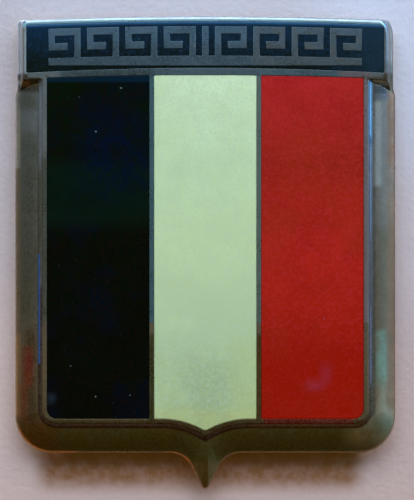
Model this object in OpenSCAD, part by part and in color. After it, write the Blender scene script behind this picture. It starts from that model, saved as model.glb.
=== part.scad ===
// Enamelled car emblem: a heraldic shield with three upright stripes and a dark header band,
// hollow at the back, with two soldered studs, a clamp bar, washers and thumb nuts.
// The face looks along -Y, up is +Z, and the origin lies midway between the two stud axes,
// in the plane of the shield's back rim.

/* [Enamel field] */
// Width of each of the three upright enamel stripes
stripe_w = 17.33; // [14:0.01:21]
// Width of the metal line between two stripes
divider_w = 0.76; // [0.5:0.01:1.4]
// Height of the enamel field, from the crown of its top edge to its level bottom edge
field_h = 58.1; // [48:0.1:70]
// Radius of the two bottom corners of the field
field_corner_r = 1.7; // [0.8:0.1:3]
// Half the width of the dip in the bottom edge of the field
dip_half_w = 7.5; // [5:0.1:10]
// Radius of the two arcs that run down into the dip
dip_r = 14.7; // [12.5:0.1:22]
// Thickness of the fired enamel
enamel_t = 0.75; // [0.4:0.05:1.1]
// How far the enamel lies below the metal lines
enamel_drop = 0.05; // [0.02:0.01:0.15]

/* [Header band] */
// Height of the enamel in the header band
header_enamel_h = 7.9; // [7.2:0.1:11]
// Width of the metal rail between the header band and the field
rail_w = 1.15; // [0.8:0.05:2]
// Width of the metal above the header enamel
top_rim_w = 0.9; // [0.7:0.05:1.6]
// Width of the flat metal at each end of the header enamel
header_side_rim = 0.6; // [0.4:0.05:1.2]
// How far each end wall of the header leans out from top to base
header_draft = 0.98; // [0.5:0.02:1.4]
// How far each end of the header stands in from the widest part of the shield
header_inset = 0.35; // [0.1:0.05:0.8]
// Rise of the arched top edge at the middle, over the half width of the header
top_arch = 0.65; // [0.2:0.05:1.2]
// Width of the rounding of the two top corners
top_corner_w = 1.2; // [0.6:0.1:2]
// Height of the rounding of the two top corners
top_corner_h = 3; // [1.5:0.1:4]
// Radius of the corners of the header enamel
header_corner_r = 0.6; // [0.3:0.05:1.2]

/* [Key ornament] */
// Width of one stroke of the raised key ornament
key_stroke = 1.08; // [0.9:0.02:1.3]
// Height of the key ornament
key_h = 6.2; // [5.2:0.1:6.4]
// Least width of enamel left at each end of the ornament
key_end_gap = 3; // [1.5:0.1:6]

/* [Border and bevel] */
// Width of the flat metal line round the enamel field
border_w = 0.7; // [0.4:0.05:1.2]
// Width of the steep step outside that line
step_run = 0.75; // [0.5:0.05:1.2]
// Width of the bevelled border at each side
side_bevel_w = 3.95; // [3:0.05:5]
// Width of the bevelled border along the bottom
bottom_bevel_w = 4.4; // [3.5:0.05:6]
// Radius of the two outer bottom corners
corner_r = 6.4; // [4:0.1:9]
// Distance from the middle at which the bottom edge starts to run down to the point
tip_start = 6; // [5:0.1:8]
// Radius of the hollow curve on each side of the point
tip_arc_r = 4; // [3:0.1:4.4]
// Slope of the straight sides of the point, in degrees
tip_slope = 62; // [52:1:66]
// Width of the blunt end of the point
tip_w = 0.8; // [0.4:0.05:1]

/* [Heights above the back rim] */
// Height of the metal lines round the enamel
top_h = 4.2; // [3.8:0.05:5.5]
// Height of the step round the field
step_h = 0.8; // [0.4:0.05:1]
// Height of the upright outer edge
edge_h = 1.3; // [0.8:0.05:1.6]
// Height of the rounded lip above the upright edge
lip_h = 0.6; // [0.3:0.05:0.8]
// Width of the rounded lip
lip_w = 0.45; // [0.3:0.05:0.7]
// How far the bevel swells above a straight slope
bevel_crown = 0.25; // [0.05:0.05:0.4]
// Thickness of the metal behind the enamel
wall_t = 1.2; // [0.9:0.05:1.5]
// Width of the flat back rim
rim_w = 1.1; // [0.8:0.05:1.5]
// Depth of the upright wall inside the back rim
rim_wall_h = 0.5; // [0.3:0.05:0.8]

/* [Studs] */
// Distance from the crown of the top edge down to the stud axes
stud_below_top = 37.75; // [32:0.25:44]
// Distance between the two stud axes
stud_spacing = 30; // [26:0.5:36]
// Diameter of the stud
stud_d = 4; // [3:0.1:5]
// Length of the plain shank behind the back rim
shank_len = 5.8; // [4:0.1:7]
// Length of the threaded part
thread_len = 15.4; // [14.5:0.1:22]
// Pitch of the thread
thread_pitch = 0.7; // [0.5:0.05:1]
// Depth of the thread
thread_depth = 0.43; // [0.25:0.01:0.6]
// Height of the rounded end of the stud
stud_end_h = 0.8; // [0.4:0.1:1.4]
// Diameter of the flat foot that is soldered to the shield
foot_d = 9; // [7:0.1:11]
// Thickness of the foot
foot_t = 1; // [0.6:0.1:1.4]
// Width of the solder fillet round the foot
solder_w = 1.3; // [0.6:0.1:2]
// Height of the solder fillet on the side of the foot
solder_h = 0.85; // [0.4:0.05:0.95]
// Capillary gap between the foot and the solder round it
solder_gap = 0.02; // [0.01:0.01:0.05]

/* [Clamp] */
// Clear distance from the back rim to the rubber washers as shown
grip_gap = 6; // [5.9:0.1:7.5]
// Length of the clamp bar
bar_len = 50; // [46:0.5:60]
// Width of the clamp bar
bar_w = 12; // [9:0.5:16]
// Thickness of the clamp bar
bar_t = 2; // [1.5:0.1:3]
// Length of the rib pressed into the clamp bar
rib_len = 16; // [8:0.5:18]
// Width of that rib
rib_w = 4; // [2.5:0.1:6]
// Height of that rib
rib_h = 0.8; // [0.4:0.1:1.2]
// Space between a stud and the hole of the bar or of a washer, at the side
hole_gap = 0.25; // [0.15:0.01:0.4]
// Diameter of the rubber washers
rubber_d = 12; // [9:0.5:14]
// Thickness of the rubber washers
rubber_t = 2; // [1:0.1:3]
// Diameter of the plain washers
washer_d = 9; // [8:0.1:12]
// Thickness of the plain washers
washer_t = 0.8; // [0.5:0.1:1.2]
// Diameter of the spring washers
spring_d = 7.6; // [7:0.1:9]
// Thickness of the spring washers
spring_t = 1.1; // [0.7:0.1:1.4]
// Width of the slanted cut in a spring washer
spring_cut = 0.7; // [0.4:0.1:1.2]

/* [Thumb nuts] */
// Diameter over the knurled head
nut_d = 11; // [9:0.1:14]
// Height of the knurled head
nut_head_h = 3.8; // [2.5:0.1:5]
// Number of ridges round the head
nut_ridges = 30; // [20:1:40]
// Depth of the grooves between the ridges
ridge_depth = 0.35; // [0.2:0.05:0.5]
// Width of the chamfer at both ends of the head
nut_chamfer = 0.5; // [0.3:0.05:0.8]
// Diameter of the smooth collar below the head
collar_d = 8; // [6.5:0.1:9]
// Height of the collar
collar_h = 1.2; // [0.6:0.1:2]
// Running clearance between the nut and the crests of the thread, at the side
nut_gap = 0.05; // [0.02:0.01:0.09]

/* [Hidden] */
$fn = 64;

// Segments of a large arc, of a small corner, and of the arched top edge on each side
arc_steps = 12;
corner_steps = 6;
arch_steps = 6;
// Number of rings across the bevel
bevel_steps = 6;
// How far a cut runs past the face that it opens
cut_past = 1;
// Depth and inset at which the header block starts, inside the body of the shield
block_sink = 0.7;
block_inset = 0.15;
// How far the underside of the header block runs out for each unit of its height
underside_run = 0.8;
// Width of the blunt end of the dip
dip_tip_w = 0.5;
// Share of the bevel that the flat ceiling of the hollow back reaches under
hollow_reach = 0.8;

field_half_w = 1.5 * stripe_w + divider_w;
shield_half_w = field_half_w + border_w + step_run + side_bevel_w;
header_half_w = shield_half_w - header_inset;
header_top_half_w = header_half_w - header_draft;
header_enamel_half_w = header_top_half_w - header_side_rim;

top_z = stud_below_top;
header_top_z = top_z - top_rim_w;
header_bottom_z = header_top_z - header_enamel_h;
field_top_z = header_bottom_z - rail_w;
field_bottom_z = field_top_z - field_h;
shoulder_z = field_bottom_z - border_w - step_run - bottom_bevel_w;
// The widest part of the shield starts just below the underside of the header block
nick_top_z = field_top_z - underside_run * (top_h - edge_h);
nick_bottom_z = nick_top_z - header_inset * 3;

step_foot_h = top_h - step_h;
enamel_floor_h = top_h - enamel_t - enamel_drop;
ceiling_h = enamel_floor_h - wall_t;

stud_r = stud_d / 2;
foot_top_y = foot_t - ceiling_h;
thread_end_y = shank_len + thread_len;
hole_r = stud_r + hole_gap;
bar_y = grip_gap + rubber_t;
plain_y = bar_y + bar_t;
spring_y = plain_y + washer_t;
nut_y = spring_y + spring_t;

// The key ornament: each unit is a hook of five strokes by five rows on a common base line
key_cols = 6;
key_rows = 5;
key_row_h = key_h / key_rows;
key_half_w = header_enamel_half_w - key_end_gap;
key_units = floor((key_half_w - key_stroke / 2) / (key_cols * key_stroke));
key_bottom_z = header_bottom_z + (header_enamel_h - key_h) / 2;

metal_color = [0.48, 0.47, 0.41];
steel_color = [0.66, 0.66, 0.65];
nut_color = [0.72, 0.62, 0.36];

// Drop of the arched top edge below its crown, at the distance x from the middle
function arch_drop(x) = top_arch * pow(x / header_half_w, 2);

// A point of an ellipse round a centre, at an angle
function ellipse_point(cx, cz, rx, rz, a) = [cx + rx * cos(a), cz + rz * sin(a)];

// The arched top edge and rounded top corner of a right half outline
function top_points(half_w, crown_z, round_w, round_h) =
  let (edge_x = half_w - round_w)
  concat(
    [for (i = [0:arch_steps - 1]) let (x = edge_x * i / arch_steps) [x, crown_z - arch_drop(x)]],
    [for (i = [0:corner_steps])
      ellipse_point(edge_x, crown_z - arch_drop(edge_x) - round_h, round_w, round_h,
        90 - 90 * i / corner_steps)]);

// Right half of an outline with a rounded bottom corner and two arcs that meet below the middle
function shield_half(half_w_top, half_w, crown_z, round_w, round_h, step_z, low_z,
    round_r, arc_x, arc_r, slope, end_w) =
  let (arc_end = [arc_x - arc_r * sin(slope), low_z - arc_r + arc_r * cos(slope)])
  concat(
    top_points(half_w_top, crown_z, round_w, round_h),
    [[half_w_top, step_z[0]], [half_w, step_z[1]]],
    [for (i = [0:arc_steps])
      ellipse_point(half_w - round_r, low_z + round_r, round_r, round_r, -90 * i / arc_steps)],
    [for (i = [0:arc_steps]) let (a = slope * i / arc_steps)
      [arc_x - arc_r * sin(a), low_z - arc_r + arc_r * cos(a)]],
    [[end_w / 2, arc_end[1] - (arc_end[0] - end_w / 2) * tan(slope)]]);

// Right half of the outer outline, moved in by d
function outer_half(d) =
  shield_half(header_half_w - d, shield_half_w - d, top_z - d, top_corner_w, top_corner_h,
    [nick_top_z, nick_bottom_z], shoulder_z + d, corner_r - d, tip_start, tip_arc_r + d,
    tip_slope, tip_w);

// Right half of the outline of the enamel field, moved out by d
function field_half(d) =
  let (arc_r = dip_r - d)
  shield_half(field_half_w + d, field_half_w + d, field_top_z + min(d, rail_w / 2),
    header_corner_r / 2, header_corner_r / 2, [nick_top_z, nick_bottom_z],
    field_bottom_z - d, field_corner_r + d, dip_half_w, arc_r,
    asin((dip_half_w - dip_tip_w) / arc_r), dip_tip_w);

// Right half of the header block: arched above and below
function block_half(half_w, crown_z, low_z) =
  concat(
    top_points(half_w, crown_z, top_corner_w, top_corner_h),
    [for (i = [arch_steps:-1:0]) let (x = half_w * i / arch_steps) [x, low_z - arch_drop(x)]]);

// A closed outline from its right half
function whole(half) =
  concat(half, [for (i = [len(half) - 1:-1:0]) if (half[i][0] > 0) [-half[i][0], half[i][1]]]);

// The outline between two matching outlines
function between(a, b, t) = [for (i = [0:len(a) - 1]) a[i] + t * (b[i] - a[i])];

// A closed solid through matching outlines, each with its own height
module loft(halves, heights) {
  rings = [for (half = halves) whole(half)];
  n = len(rings[0]);
  last = len(rings) - 1;
  points = [for (k = [0:last]) for (p = rings[k]) [p[0], p[1], heights[k]]];
  sides = [for (k = [0:last - 1]) for (i = [0:n - 1])
    let (a = k * n + i, b = k * n + (i + 1) % n)
    each [[a, b, b + n], [a, b + n, a + n]]];
  floor_face = [for (i = [n - 1:-1:0]) i];
  roof_face = [for (i = [0:n - 1]) last * n + i];
  polyhedron(points = points, faces = concat([floor_face], sides, [roof_face]));
}

// The upright edge, lip and bevelled border, and the raised step up to the field
module shield_body() {
  lip_half = outer_half(lip_w);
  foot_half = field_half(border_w + step_run);
  lip_top_h = edge_h + lip_h;
  halves = concat(
    [outer_half(0), outer_half(0), outer_half(lip_w * 0.3)],
    [for (i = [0:bevel_steps]) between(lip_half, foot_half, i / bevel_steps)],
    [field_half(border_w)]);
  heights = concat(
    [0, edge_h, edge_h + lip_h * 0.72],
    [for (i = [0:bevel_steps]) let (t = i / bevel_steps)
      lip_top_h + t * (step_foot_h - lip_top_h) + 4 * bevel_crown * t * (1 - t)],
    [top_h]);
  loft(halves, heights);
}

// The header block, whose walls and underside lean out towards the back
module header_block() {
  base_h = edge_h - block_sink;
  loft(
    [block_half(header_half_w - block_inset, top_z - block_inset,
       field_top_z - underside_run * (top_h - base_h)),
     block_half(header_top_half_w, header_top_z + top_rim_w / 2, field_top_z)],
    [base_h, top_h]);
}

// The hollow of the back, a dish that follows the bevel
module back_hollow() {
  mouth_half = outer_half(rim_w);
  foot_half = field_half(border_w + step_run);
  loft(
    [mouth_half, mouth_half, between(mouth_half, foot_half, hollow_reach)],
    [-cut_past, rim_wall_h, ceiling_h]);
}

// Outline of the whole enamel field
module field_outline() {
  polygon(whole(field_half(0)));
}

// Outline of one stripe: -1 is the left one, 0 the middle one and 1 the right one
module stripe_outline(side) {
  intersection() {
    field_outline();
    translate([side * (stripe_w + divider_w) - stripe_w / 2, field_bottom_z - dip_r])
      square([stripe_w, field_h + 2 * dip_r]);
  }
}

// Outline of the header band, arched above and below
module band_outline() {
  w = header_enamel_half_w;
  r = header_corner_r;
  polygon(whole(concat(
    top_points(w, header_top_z, r, r),
    [for (i = [0:corner_steps])
      ellipse_point(w - r, header_bottom_z - arch_drop(w) + r, r, r, -90 * i / corner_steps)],
    [for (i = [arch_steps:-1:0]) let (x = (w - r) * i / (arch_steps + 1))
      [x, header_bottom_z - arch_drop(x)]])));
}

// One stroke of the key ornament over whole cells
module key_bar(col, row, cols, rows) {
  translate([(col + 0.5) * key_stroke, key_bottom_z + row * key_row_h])
    square([cols * key_stroke, rows * key_row_h]);
}

// The hooks on the right of the middle, each open towards the outer end
module key_side() {
  for (i = [0:key_units - 1]) {
    key_bar(i * key_cols + 1, 0, 1, key_rows);
    key_bar(i * key_cols + 1, key_rows - 1, key_cols - 1, 1);
    key_bar(i * key_cols + key_cols - 1, 2, 1, key_rows - 2);
    key_bar(i * key_cols + 3, 2, 3, 1);
  }
}

// The key ornament: a base line with hooks that face away from an upright in the middle
module key_outline() {
  base_w = (2 * key_units * key_cols + 1) * key_stroke;
  translate([-base_w / 2, key_bottom_z])
    square([base_w, key_row_h]);
  translate([-key_stroke / 2, key_bottom_z])
    square([key_stroke, key_h]);
  key_side();
  mirror([1, 0])
    key_side();
}

// A solid between two heights above the back rim, facing -Y
module face_plate(low_h, high_h) {
  rotate([90, 0, 0])
    translate([0, 0, low_h])
      linear_extrude(high_h - low_h)
        children();
}

// The round pieces on one stud, with their own up direction turned to +Y
module on_stud(side, y) {
  translate([side * stud_spacing / 2, y, 0])
    rotate([-90, 0, 0])
      children();
}

// The die-struck metal shield with its recesses and hollow back
module shield_shell() {
  color(metal_color)
    difference() {
      rotate([90, 0, 0])
        difference() {
          union() {
            shield_body();
            header_block();
          }
          back_hollow();
        }
      for (side = [-1:1])
        face_plate(enamel_floor_h, top_h + cut_past)
          stripe_outline(side);
      face_plate(enamel_floor_h, top_h + cut_past)
        difference() {
          band_outline();
          key_outline();
        }
    }
}

// The dark enamel of the header band, round the key ornament
module header_enamel() {
  color([0.03, 0.08, 0.11])
    face_plate(enamel_floor_h, top_h - enamel_drop)
      difference() {
        band_outline();
        key_outline();
      }
}

// One enamel stripe
module stripe(side) {
  face_plate(enamel_floor_h, top_h - enamel_drop)
    stripe_outline(side);
}

module black_enamel() {
  color([0.02, 0.04, 0.03])
    stripe(-1);
}

module yellow_enamel() {
  color([0.72, 0.85, 0.66])
    stripe(0);
}

module red_enamel() {
  color([0.62, 0.13, 0.1])
    stripe(1);
}

// Half section of the thread: one sharp crest in each whole pitch
function thread_section() =
  let (crests = floor(thread_len / thread_pitch + 0.01), root_r = stud_r - thread_depth)
  concat(
    [[0, shank_len], [root_r, shank_len]],
    [for (i = [0:crests - 1]) each
      [[stud_r, shank_len + (i + 0.5) * thread_pitch],
       [root_r, shank_len + (i + 1) * thread_pitch]]],
    [[root_r, thread_end_y], [root_r * 0.6, thread_end_y + stud_end_h * 0.8],
     [0, thread_end_y + stud_end_h]]);

// A stud with a flat foot, a plain shank and a thread
module stud(side) {
  color(steel_color)
    on_stud(side, 0) {
      translate([0, 0, -ceiling_h])
        cylinder(d = foot_d, h = foot_t);
      translate([0, 0, foot_top_y])
        cylinder(r = stud_r, h = shank_len - foot_top_y);
      rotate_extrude()
        polygon(thread_section());
    }
}

module left_stud() {
  stud(-1);
}

module right_stud() {
  stud(1);
}

// The hollow-sided ring of solder round the foot of a stud
module solder(side) {
  inner_r = foot_d / 2 + solder_gap;
  color([0.62, 0.62, 0.58])
    on_stud(side, -ceiling_h)
      rotate_extrude()
        polygon(concat(
          [[inner_r, 0]],
          [for (i = [0:corner_steps]) let (a = 90 * i / corner_steps)
            [inner_r + solder_w - solder_w * sin(a) * 0.92, solder_h - solder_h * cos(a)]],
          [[inner_r, solder_h]]));
}

module left_solder() {
  solder(-1);
}

module right_solder() {
  solder(1);
}

// A long shape with round ends
module slot_shape(length, width) {
  square([length - width, width], center = true);
  for (side = [-1, 1])
    translate([side * (length - width) / 2, 0])
      circle(d = width);
}

// The flat bar that spans both studs behind the grille
module clamp_bar() {
  color(steel_color)
    difference() {
      translate([0, bar_y, 0])
        rotate([-90, 0, 0]) {
          linear_extrude(bar_t)
            slot_shape(bar_len, bar_w);
          translate([0, 0, bar_t / 2])
            linear_extrude(bar_t / 2 + rib_h)
              slot_shape(rib_len, rib_w);
        }
      for (side = [-1, 1])
        on_stud(side, bar_y - cut_past)
          cylinder(r = hole_r, h = bar_t + 2 * cut_past);
    }
}

// A flat ring that lies round a stud
module ring(diameter, thickness) {
  difference() {
    cylinder(d = diameter, h = thickness);
    translate([0, 0, -cut_past])
      cylinder(r = hole_r, h = thickness + 2 * cut_past);
  }
}

module rubber_washer(side) {
  color([0.09, 0.09, 0.09])
    on_stud(side, grip_gap)
      ring(rubber_d, rubber_t);
}

module left_rubber_washer() {
  rubber_washer(-1);
}

module right_rubber_washer() {
  rubber_washer(1);
}

module plain_washer(side) {
  color(steel_color)
    on_stud(side, plain_y)
      ring(washer_d, washer_t);
}

module left_plain_washer() {
  plain_washer(-1);
}

module right_plain_washer() {
  plain_washer(1);
}

// A ring with a slanted cut through one side
module spring_washer(side) {
  color([0.5, 0.5, 0.52])
    on_stud(side, spring_y)
      difference() {
        ring(spring_d, spring_t);
        translate([0, spring_d / 2, spring_t / 2])
          rotate([0, 30, 0])
            cube([spring_cut, spring_d, spring_d], center = true);
      }
}

module left_spring_washer() {
  spring_washer(-1);
}

module right_spring_washer() {
  spring_washer(1);
}

// A knurled nut with a smooth collar at its seat
module thumb_nut(side) {
  nut_r = nut_d / 2;
  head_top = collar_h + nut_head_h;
  color(nut_color)
    on_stud(side, nut_y)
      difference() {
        union() {
          cylinder(d = collar_d, h = collar_h);
          translate([0, 0, collar_h])
            intersection() {
              linear_extrude(nut_head_h)
                polygon([for (i = [0:2 * nut_ridges - 1])
                  let (a = 180 * i / nut_ridges, r = nut_r - (i % 2) * ridge_depth)
                  [r * cos(a), r * sin(a)]]);
              rotate_extrude()
                polygon([[0, 0], [nut_r - nut_chamfer, 0], [nut_r + cut_past, nut_chamfer + cut_past],
                  [nut_r + cut_past, nut_head_h - nut_chamfer - cut_past],
                  [nut_r - nut_chamfer, nut_head_h], [0, nut_head_h]]);
            }
        }
        translate([0, 0, -cut_past])
          cylinder(r = stud_r + nut_gap, h = head_top + 2 * cut_past);
      }
}

module left_thumb_nut() {
  thumb_nut(-1);
}

module right_thumb_nut() {
  thumb_nut(1);
}

shield_shell();
header_enamel();
black_enamel();
yellow_enamel();
red_enamel();
left_stud();
right_stud();
left_solder();
right_solder();
clamp_bar();
left_rubber_washer();
right_rubber_washer();
left_plain_washer();
right_plain_washer();
left_spring_washer();
right_spring_washer();
left_thumb_nut();
right_thumb_nut();
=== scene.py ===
"""Dresses an enamelled car emblem and its rear fixings.

The emblem is a struck metal shield with three upright enamel stripes and a dark header band. Behind
it are two soldered studs, a clamp strap, washers and thumb nuts.

Lengths are millimetres in the frame of the part: +X is right, +Z is up the shield and -Y points out
of the enamelled face. A height is a distance in front of the flat back rim, so it counts along -Y.
Every finished mesh is scaled to metres. Colours are given as they are seen, from 0 to 255 in each
channel.
"""

import logging
import math
from collections.abc import Callable, Iterator, Sequence
from contextlib import contextmanager
from dataclasses import dataclass
from enum import Enum

import bpy
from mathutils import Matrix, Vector, noise


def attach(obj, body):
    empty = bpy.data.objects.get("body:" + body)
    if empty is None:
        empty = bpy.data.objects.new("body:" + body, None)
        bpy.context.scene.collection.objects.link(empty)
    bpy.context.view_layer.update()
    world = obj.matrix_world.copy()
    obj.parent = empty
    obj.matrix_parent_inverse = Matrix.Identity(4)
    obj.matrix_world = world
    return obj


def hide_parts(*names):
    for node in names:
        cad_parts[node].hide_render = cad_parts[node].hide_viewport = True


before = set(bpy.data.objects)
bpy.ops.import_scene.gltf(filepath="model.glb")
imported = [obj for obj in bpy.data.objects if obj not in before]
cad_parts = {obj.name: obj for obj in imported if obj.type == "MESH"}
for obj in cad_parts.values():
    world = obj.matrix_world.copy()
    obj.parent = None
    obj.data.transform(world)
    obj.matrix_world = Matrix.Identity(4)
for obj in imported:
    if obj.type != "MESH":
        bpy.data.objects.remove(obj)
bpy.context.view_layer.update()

MM = 0.001
log = logging.getLogger("emblem")

Point = tuple[float, float]
Place = tuple[float, float, float]
Colour = tuple[int, int, int]
Obj = bpy.types.Object
Material = bpy.types.Material
Socket = bpy.types.NodeSocket
Value = float | tuple | Socket


class Body(Enum):
    """The bodies that pieces ride on."""

    SHIELD = "root"
    CLAMP = "clamp"
    LEFT_NUT = "left_nut"
    RIGHT_NUT = "right_nut"


class Side(Enum):
    """Left or right of the middle, as seen from the front."""

    LEFT = -1
    RIGHT = 1

    @property
    def word(self) -> str:
        """The side as it stands in the names of pieces."""
        return self.name.lower()

    @property
    def nut_body(self) -> Body:
        """The body of the thumb nut on this side."""
        return Body.LEFT_NUT if self is Side.LEFT else Body.RIGHT_NUT


class Ends(Enum):
    """How a skin through rings is closed."""

    FACES = "a face at each end"
    LOOP = "last ring joined to the first"


class Element(Enum):
    """What is selected, as Blender's select mode wants it."""

    EDGE = (False, True, False)
    FACE = (False, False, True)


class Join(Enum):
    """What one solid does to another."""

    UNITE = "UNION"
    CUT = "DIFFERENCE"


class Bench:
    """Work on one mesh at a time with Blender's own operators."""

    @staticmethod
    def clear() -> None:
        """Leaves edit mode and deselects every object."""
        if bpy.context.object is not None and bpy.context.object.mode != "OBJECT":
            bpy.ops.object.mode_set(mode="OBJECT")
        bpy.ops.object.select_all(action="DESELECT")

    @staticmethod
    def unmark(mesh: bpy.types.Mesh) -> None:
        """Deselects all of a mesh."""
        for parts in (mesh.vertices, mesh.edges, mesh.polygons):
            parts.foreach_set("select", [False] * len(parts))

    @staticmethod
    def take(*objs: Obj) -> None:
        """Selects these objects and no others, the last of them active."""
        Bench.clear()
        for obj in objs:
            obj.select_set(True)
        bpy.context.view_layer.objects.active = objs[-1]

    @staticmethod
    @contextmanager
    def editing(obj: Obj, element: Element) -> Iterator[None]:
        """Opens edit mode on an object and closes it again.

        Args:
            obj: The object to edit.
            element: What the select mode picks.
        """
        Bench.take(obj)
        bpy.context.tool_settings.mesh_select_mode = element.value
        bpy.ops.object.mode_set(mode="EDIT")
        yield
        bpy.ops.object.mode_set(mode="OBJECT")

    @staticmethod
    def choose_faces(obj: Obj, test: Callable[[bpy.types.MeshPolygon], bool]) -> None:
        """Selects the faces that pass a test, and nothing else.

        Args:
            obj: The object whose mesh is marked.
            test: Says whether a face is wanted, from its place or normal.
        """
        mesh = obj.data
        Bench.unmark(mesh)
        for face in mesh.polygons:
            face.select = test(face)

    @staticmethod
    def choose_edges(obj: Obj, test: Callable[[Vector, Vector], bool]) -> None:
        """Selects the edges whose two ends pass a test, and nothing else.

        Args:
            obj: The object whose mesh is marked.
            test: Takes the places of an edge's two ends.
        """
        mesh = obj.data
        Bench.unmark(mesh)
        for edge in mesh.edges:
            first, second = (mesh.vertices[i] for i in edge.vertices)
            edge.select = test(first.co, second.co)
            if edge.select:
                first.select = second.select = True

    @staticmethod
    def join(body: Obj, tool: Obj, how: Join) -> None:
        """Unites a solid with another, or cuts it, and removes the other.

        Args:
            body: The solid that stays.
            tool: The solid that is used up.
            how: Unite or cut.
        """
        modifier = body.modifiers.new(how.name.lower(), "BOOLEAN")
        modifier.operation = how.value
        modifier.solver = "EXACT"
        modifier.object = tool
        Bench.take(body)
        bpy.ops.object.modifier_apply(modifier=modifier.name)
        bpy.data.objects.remove(tool)

    @staticmethod
    def merge(objs: Sequence[Obj]) -> Obj:
        """Makes one object of several and returns it."""
        Bench.take(*objs)
        bpy.ops.object.join()
        return bpy.context.object


@dataclass(frozen=True)
class Piece:
    """What a finished piece is called, and what it stands for.

    Args:
        name: The name of the piece.
        node: The CAD node that it replaces.
        slot: The record's material slot; not used.
        body: The body that it rides on.
        crease: The angle in degrees above which an edge stays sharp.
    """

    name: str
    node: str
    slot: str
    body: Body = Body.SHIELD
    crease: float = 38

    def hand_over(self, obj: Obj, *materials: Material) -> None:
        """Scales a mesh to metres, shades it, dresses it and puts it in its place.

        Args:
            obj: The finished mesh, in millimetres.
            materials: The materials of its slots, in order.
        """
        obj.name = obj.data.name = self.name
        for material in materials:
            obj.data.materials.append(material)
        Bench.take(obj)
        obj.scale = (MM, MM, MM)
        bpy.ops.object.transform_apply(location=False, rotation=False, scale=True)
        bpy.ops.object.shade_smooth_by_angle(angle=math.radians(self.crease))
        weigh = obj.modifiers.new("weigh normals", "WEIGHTED_NORMAL")
        weigh.keep_sharp = True
        bpy.ops.object.modifier_apply(modifier=weigh.name)
        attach(obj, self.body.value)
        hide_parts(self.node)
        log.info("%s: %d faces, on %s", self.name, len(obj.data.polygons), self.body.value)


def skin(name: str, rings: Sequence[Sequence[Place]], ends: Ends) -> Obj:
    """Makes a closed solid through matching rings of points.

    A circle primitive takes the first ring, and it is extruded to each further one.

    Args:
        name: The name of the new object.
        rings: The rings, each with the same number of points in the same order.
        ends: How the two ends are closed.

    Returns:
        The new object, with its normals outwards.
    """
    count = len(rings[0])
    Bench.clear()
    fill = "NGON" if ends is Ends.FACES else "NOTHING"
    bpy.ops.mesh.primitive_circle_add(vertices=count, radius=1, fill_type=fill)
    obj = bpy.context.object
    obj.name = name
    with Bench.editing(obj, Element.FACE if ends is Ends.FACES else Element.EDGE):
        bpy.ops.mesh.select_all(action="SELECT")
        for _ in rings[1:]:
            if ends is Ends.FACES:
                bpy.ops.mesh.extrude_region_move()
            else:
                bpy.ops.mesh.extrude_edges_move()
    mesh = obj.data
    neighbours: list[list[int]] = [[] for _ in mesh.vertices]
    for edge in mesh.edges:
        first, second = edge.vertices
        neighbours[first].append(second)
        neighbours[second].append(first)
    row = list(range(count))
    placed = set(row)
    for index, ring in enumerate(rings):
        if index:
            row = [next(n for n in neighbours[v] if n not in placed) for v in row]
            placed.update(row)
        for vertex, place in zip(row, ring):
            mesh.vertices[vertex].co = place
    if ends is Ends.LOOP:
        last, first = set(row), set(range(count))
        Bench.unmark(mesh)
        for edge in mesh.edges:
            pair = set(edge.vertices)
            edge.select = pair <= last or pair <= first
        with Bench.editing(obj, Element.EDGE):
            bpy.ops.mesh.bridge_edge_loops()
    with Bench.editing(obj, Element.FACE):
        bpy.ops.mesh.select_all(action="SELECT")
        bpy.ops.mesh.remove_doubles(threshold=0.0005)
        bpy.ops.mesh.normals_make_consistent(inside=False)
    return obj


def arc(centre: Point, radii: Point, start: float, end: float, steps: int) -> list[Point]:
    """Points of an ellipse between two angles.

    Args:
        centre: The centre.
        radii: Half the width and half the height.
        start: The first angle in degrees, from the right and counterclockwise.
        end: The last angle in degrees.
        steps: How many chords the arc has.

    Returns:
        The points, both ends included.
    """
    angles = (math.radians(start + (end - start) * i / steps) for i in range(steps + 1))
    return [(centre[0] + radii[0] * math.cos(a), centre[1] + radii[1] * math.sin(a)) for a in angles]


def whole(right: Sequence[Point], left: Sequence[Point] | None = None) -> list[Point]:
    """A closed outline, clockwise from the top.

    Args:
        right: Its right half.
        left: Its left half, mirrored, where that differs.

    Returns:
        The points.
    """
    return [*right, *((-x, z) for x, z in reversed(left or right) if x > 1e-6)]


def mixed(*parts: tuple[float, Sequence[Point]]) -> list[Point]:
    """The weighted sum of matching outlines, each given with its weight."""
    rows = zip(*(outline for _, outline in parts))
    weights = [weight for weight, _ in parts]
    return [
        (
            sum(w * p[0] for w, p in zip(weights, row)),
            sum(w * p[1] for w, p in zip(weights, row)),
        )
        for row in rows
    ]


def curved(first: Sequence[Point], corner: Sequence[Point], last: Sequence[Point],
           u: float) -> list[Point]:
    """The outline at u on a rounding that runs from first to last under a corner.

    Args:
        first: The outline where the rounding starts.
        corner: The outline of the sharp corner.
        last: The outline where the rounding ends.
        u: How far along, from 0 to 1.

    Returns:
        The outline there.
    """
    return mixed(((1 - u) ** 2, first), (2 * u * (1 - u), corner), (u * u, last))


def curve_height(first: float, corner: float, last: float, u: float) -> float:
    """The height that goes with curved."""
    return (1 - u) ** 2 * first + 2 * u * (1 - u) * corner + u * u * last


def grown(outline: Sequence[Point], by: float) -> list[Point]:
    """Moves every edge of an outline out.

    Args:
        outline: Its corners, clockwise.
        by: How far; less than 0 moves them in.

    Returns:
        The new corners.
    """
    count = len(outline)
    normals = []
    for i, (x, z) in enumerate(outline):
        next_x, next_z = outline[(i + 1) % count]
        length = math.hypot(next_x - x, next_z - z)
        normals.append(((z - next_z) / length, (next_x - x) / length))
    moved = []
    for i, (x, z) in enumerate(outline):
        before, after = normals[i - 1], normals[i]
        share = by / (1 + before[0] * after[0] + before[1] * after[1])
        moved.append((x + share * (before[0] + after[0]), z + share * (before[1] + after[1])))
    return moved


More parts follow.
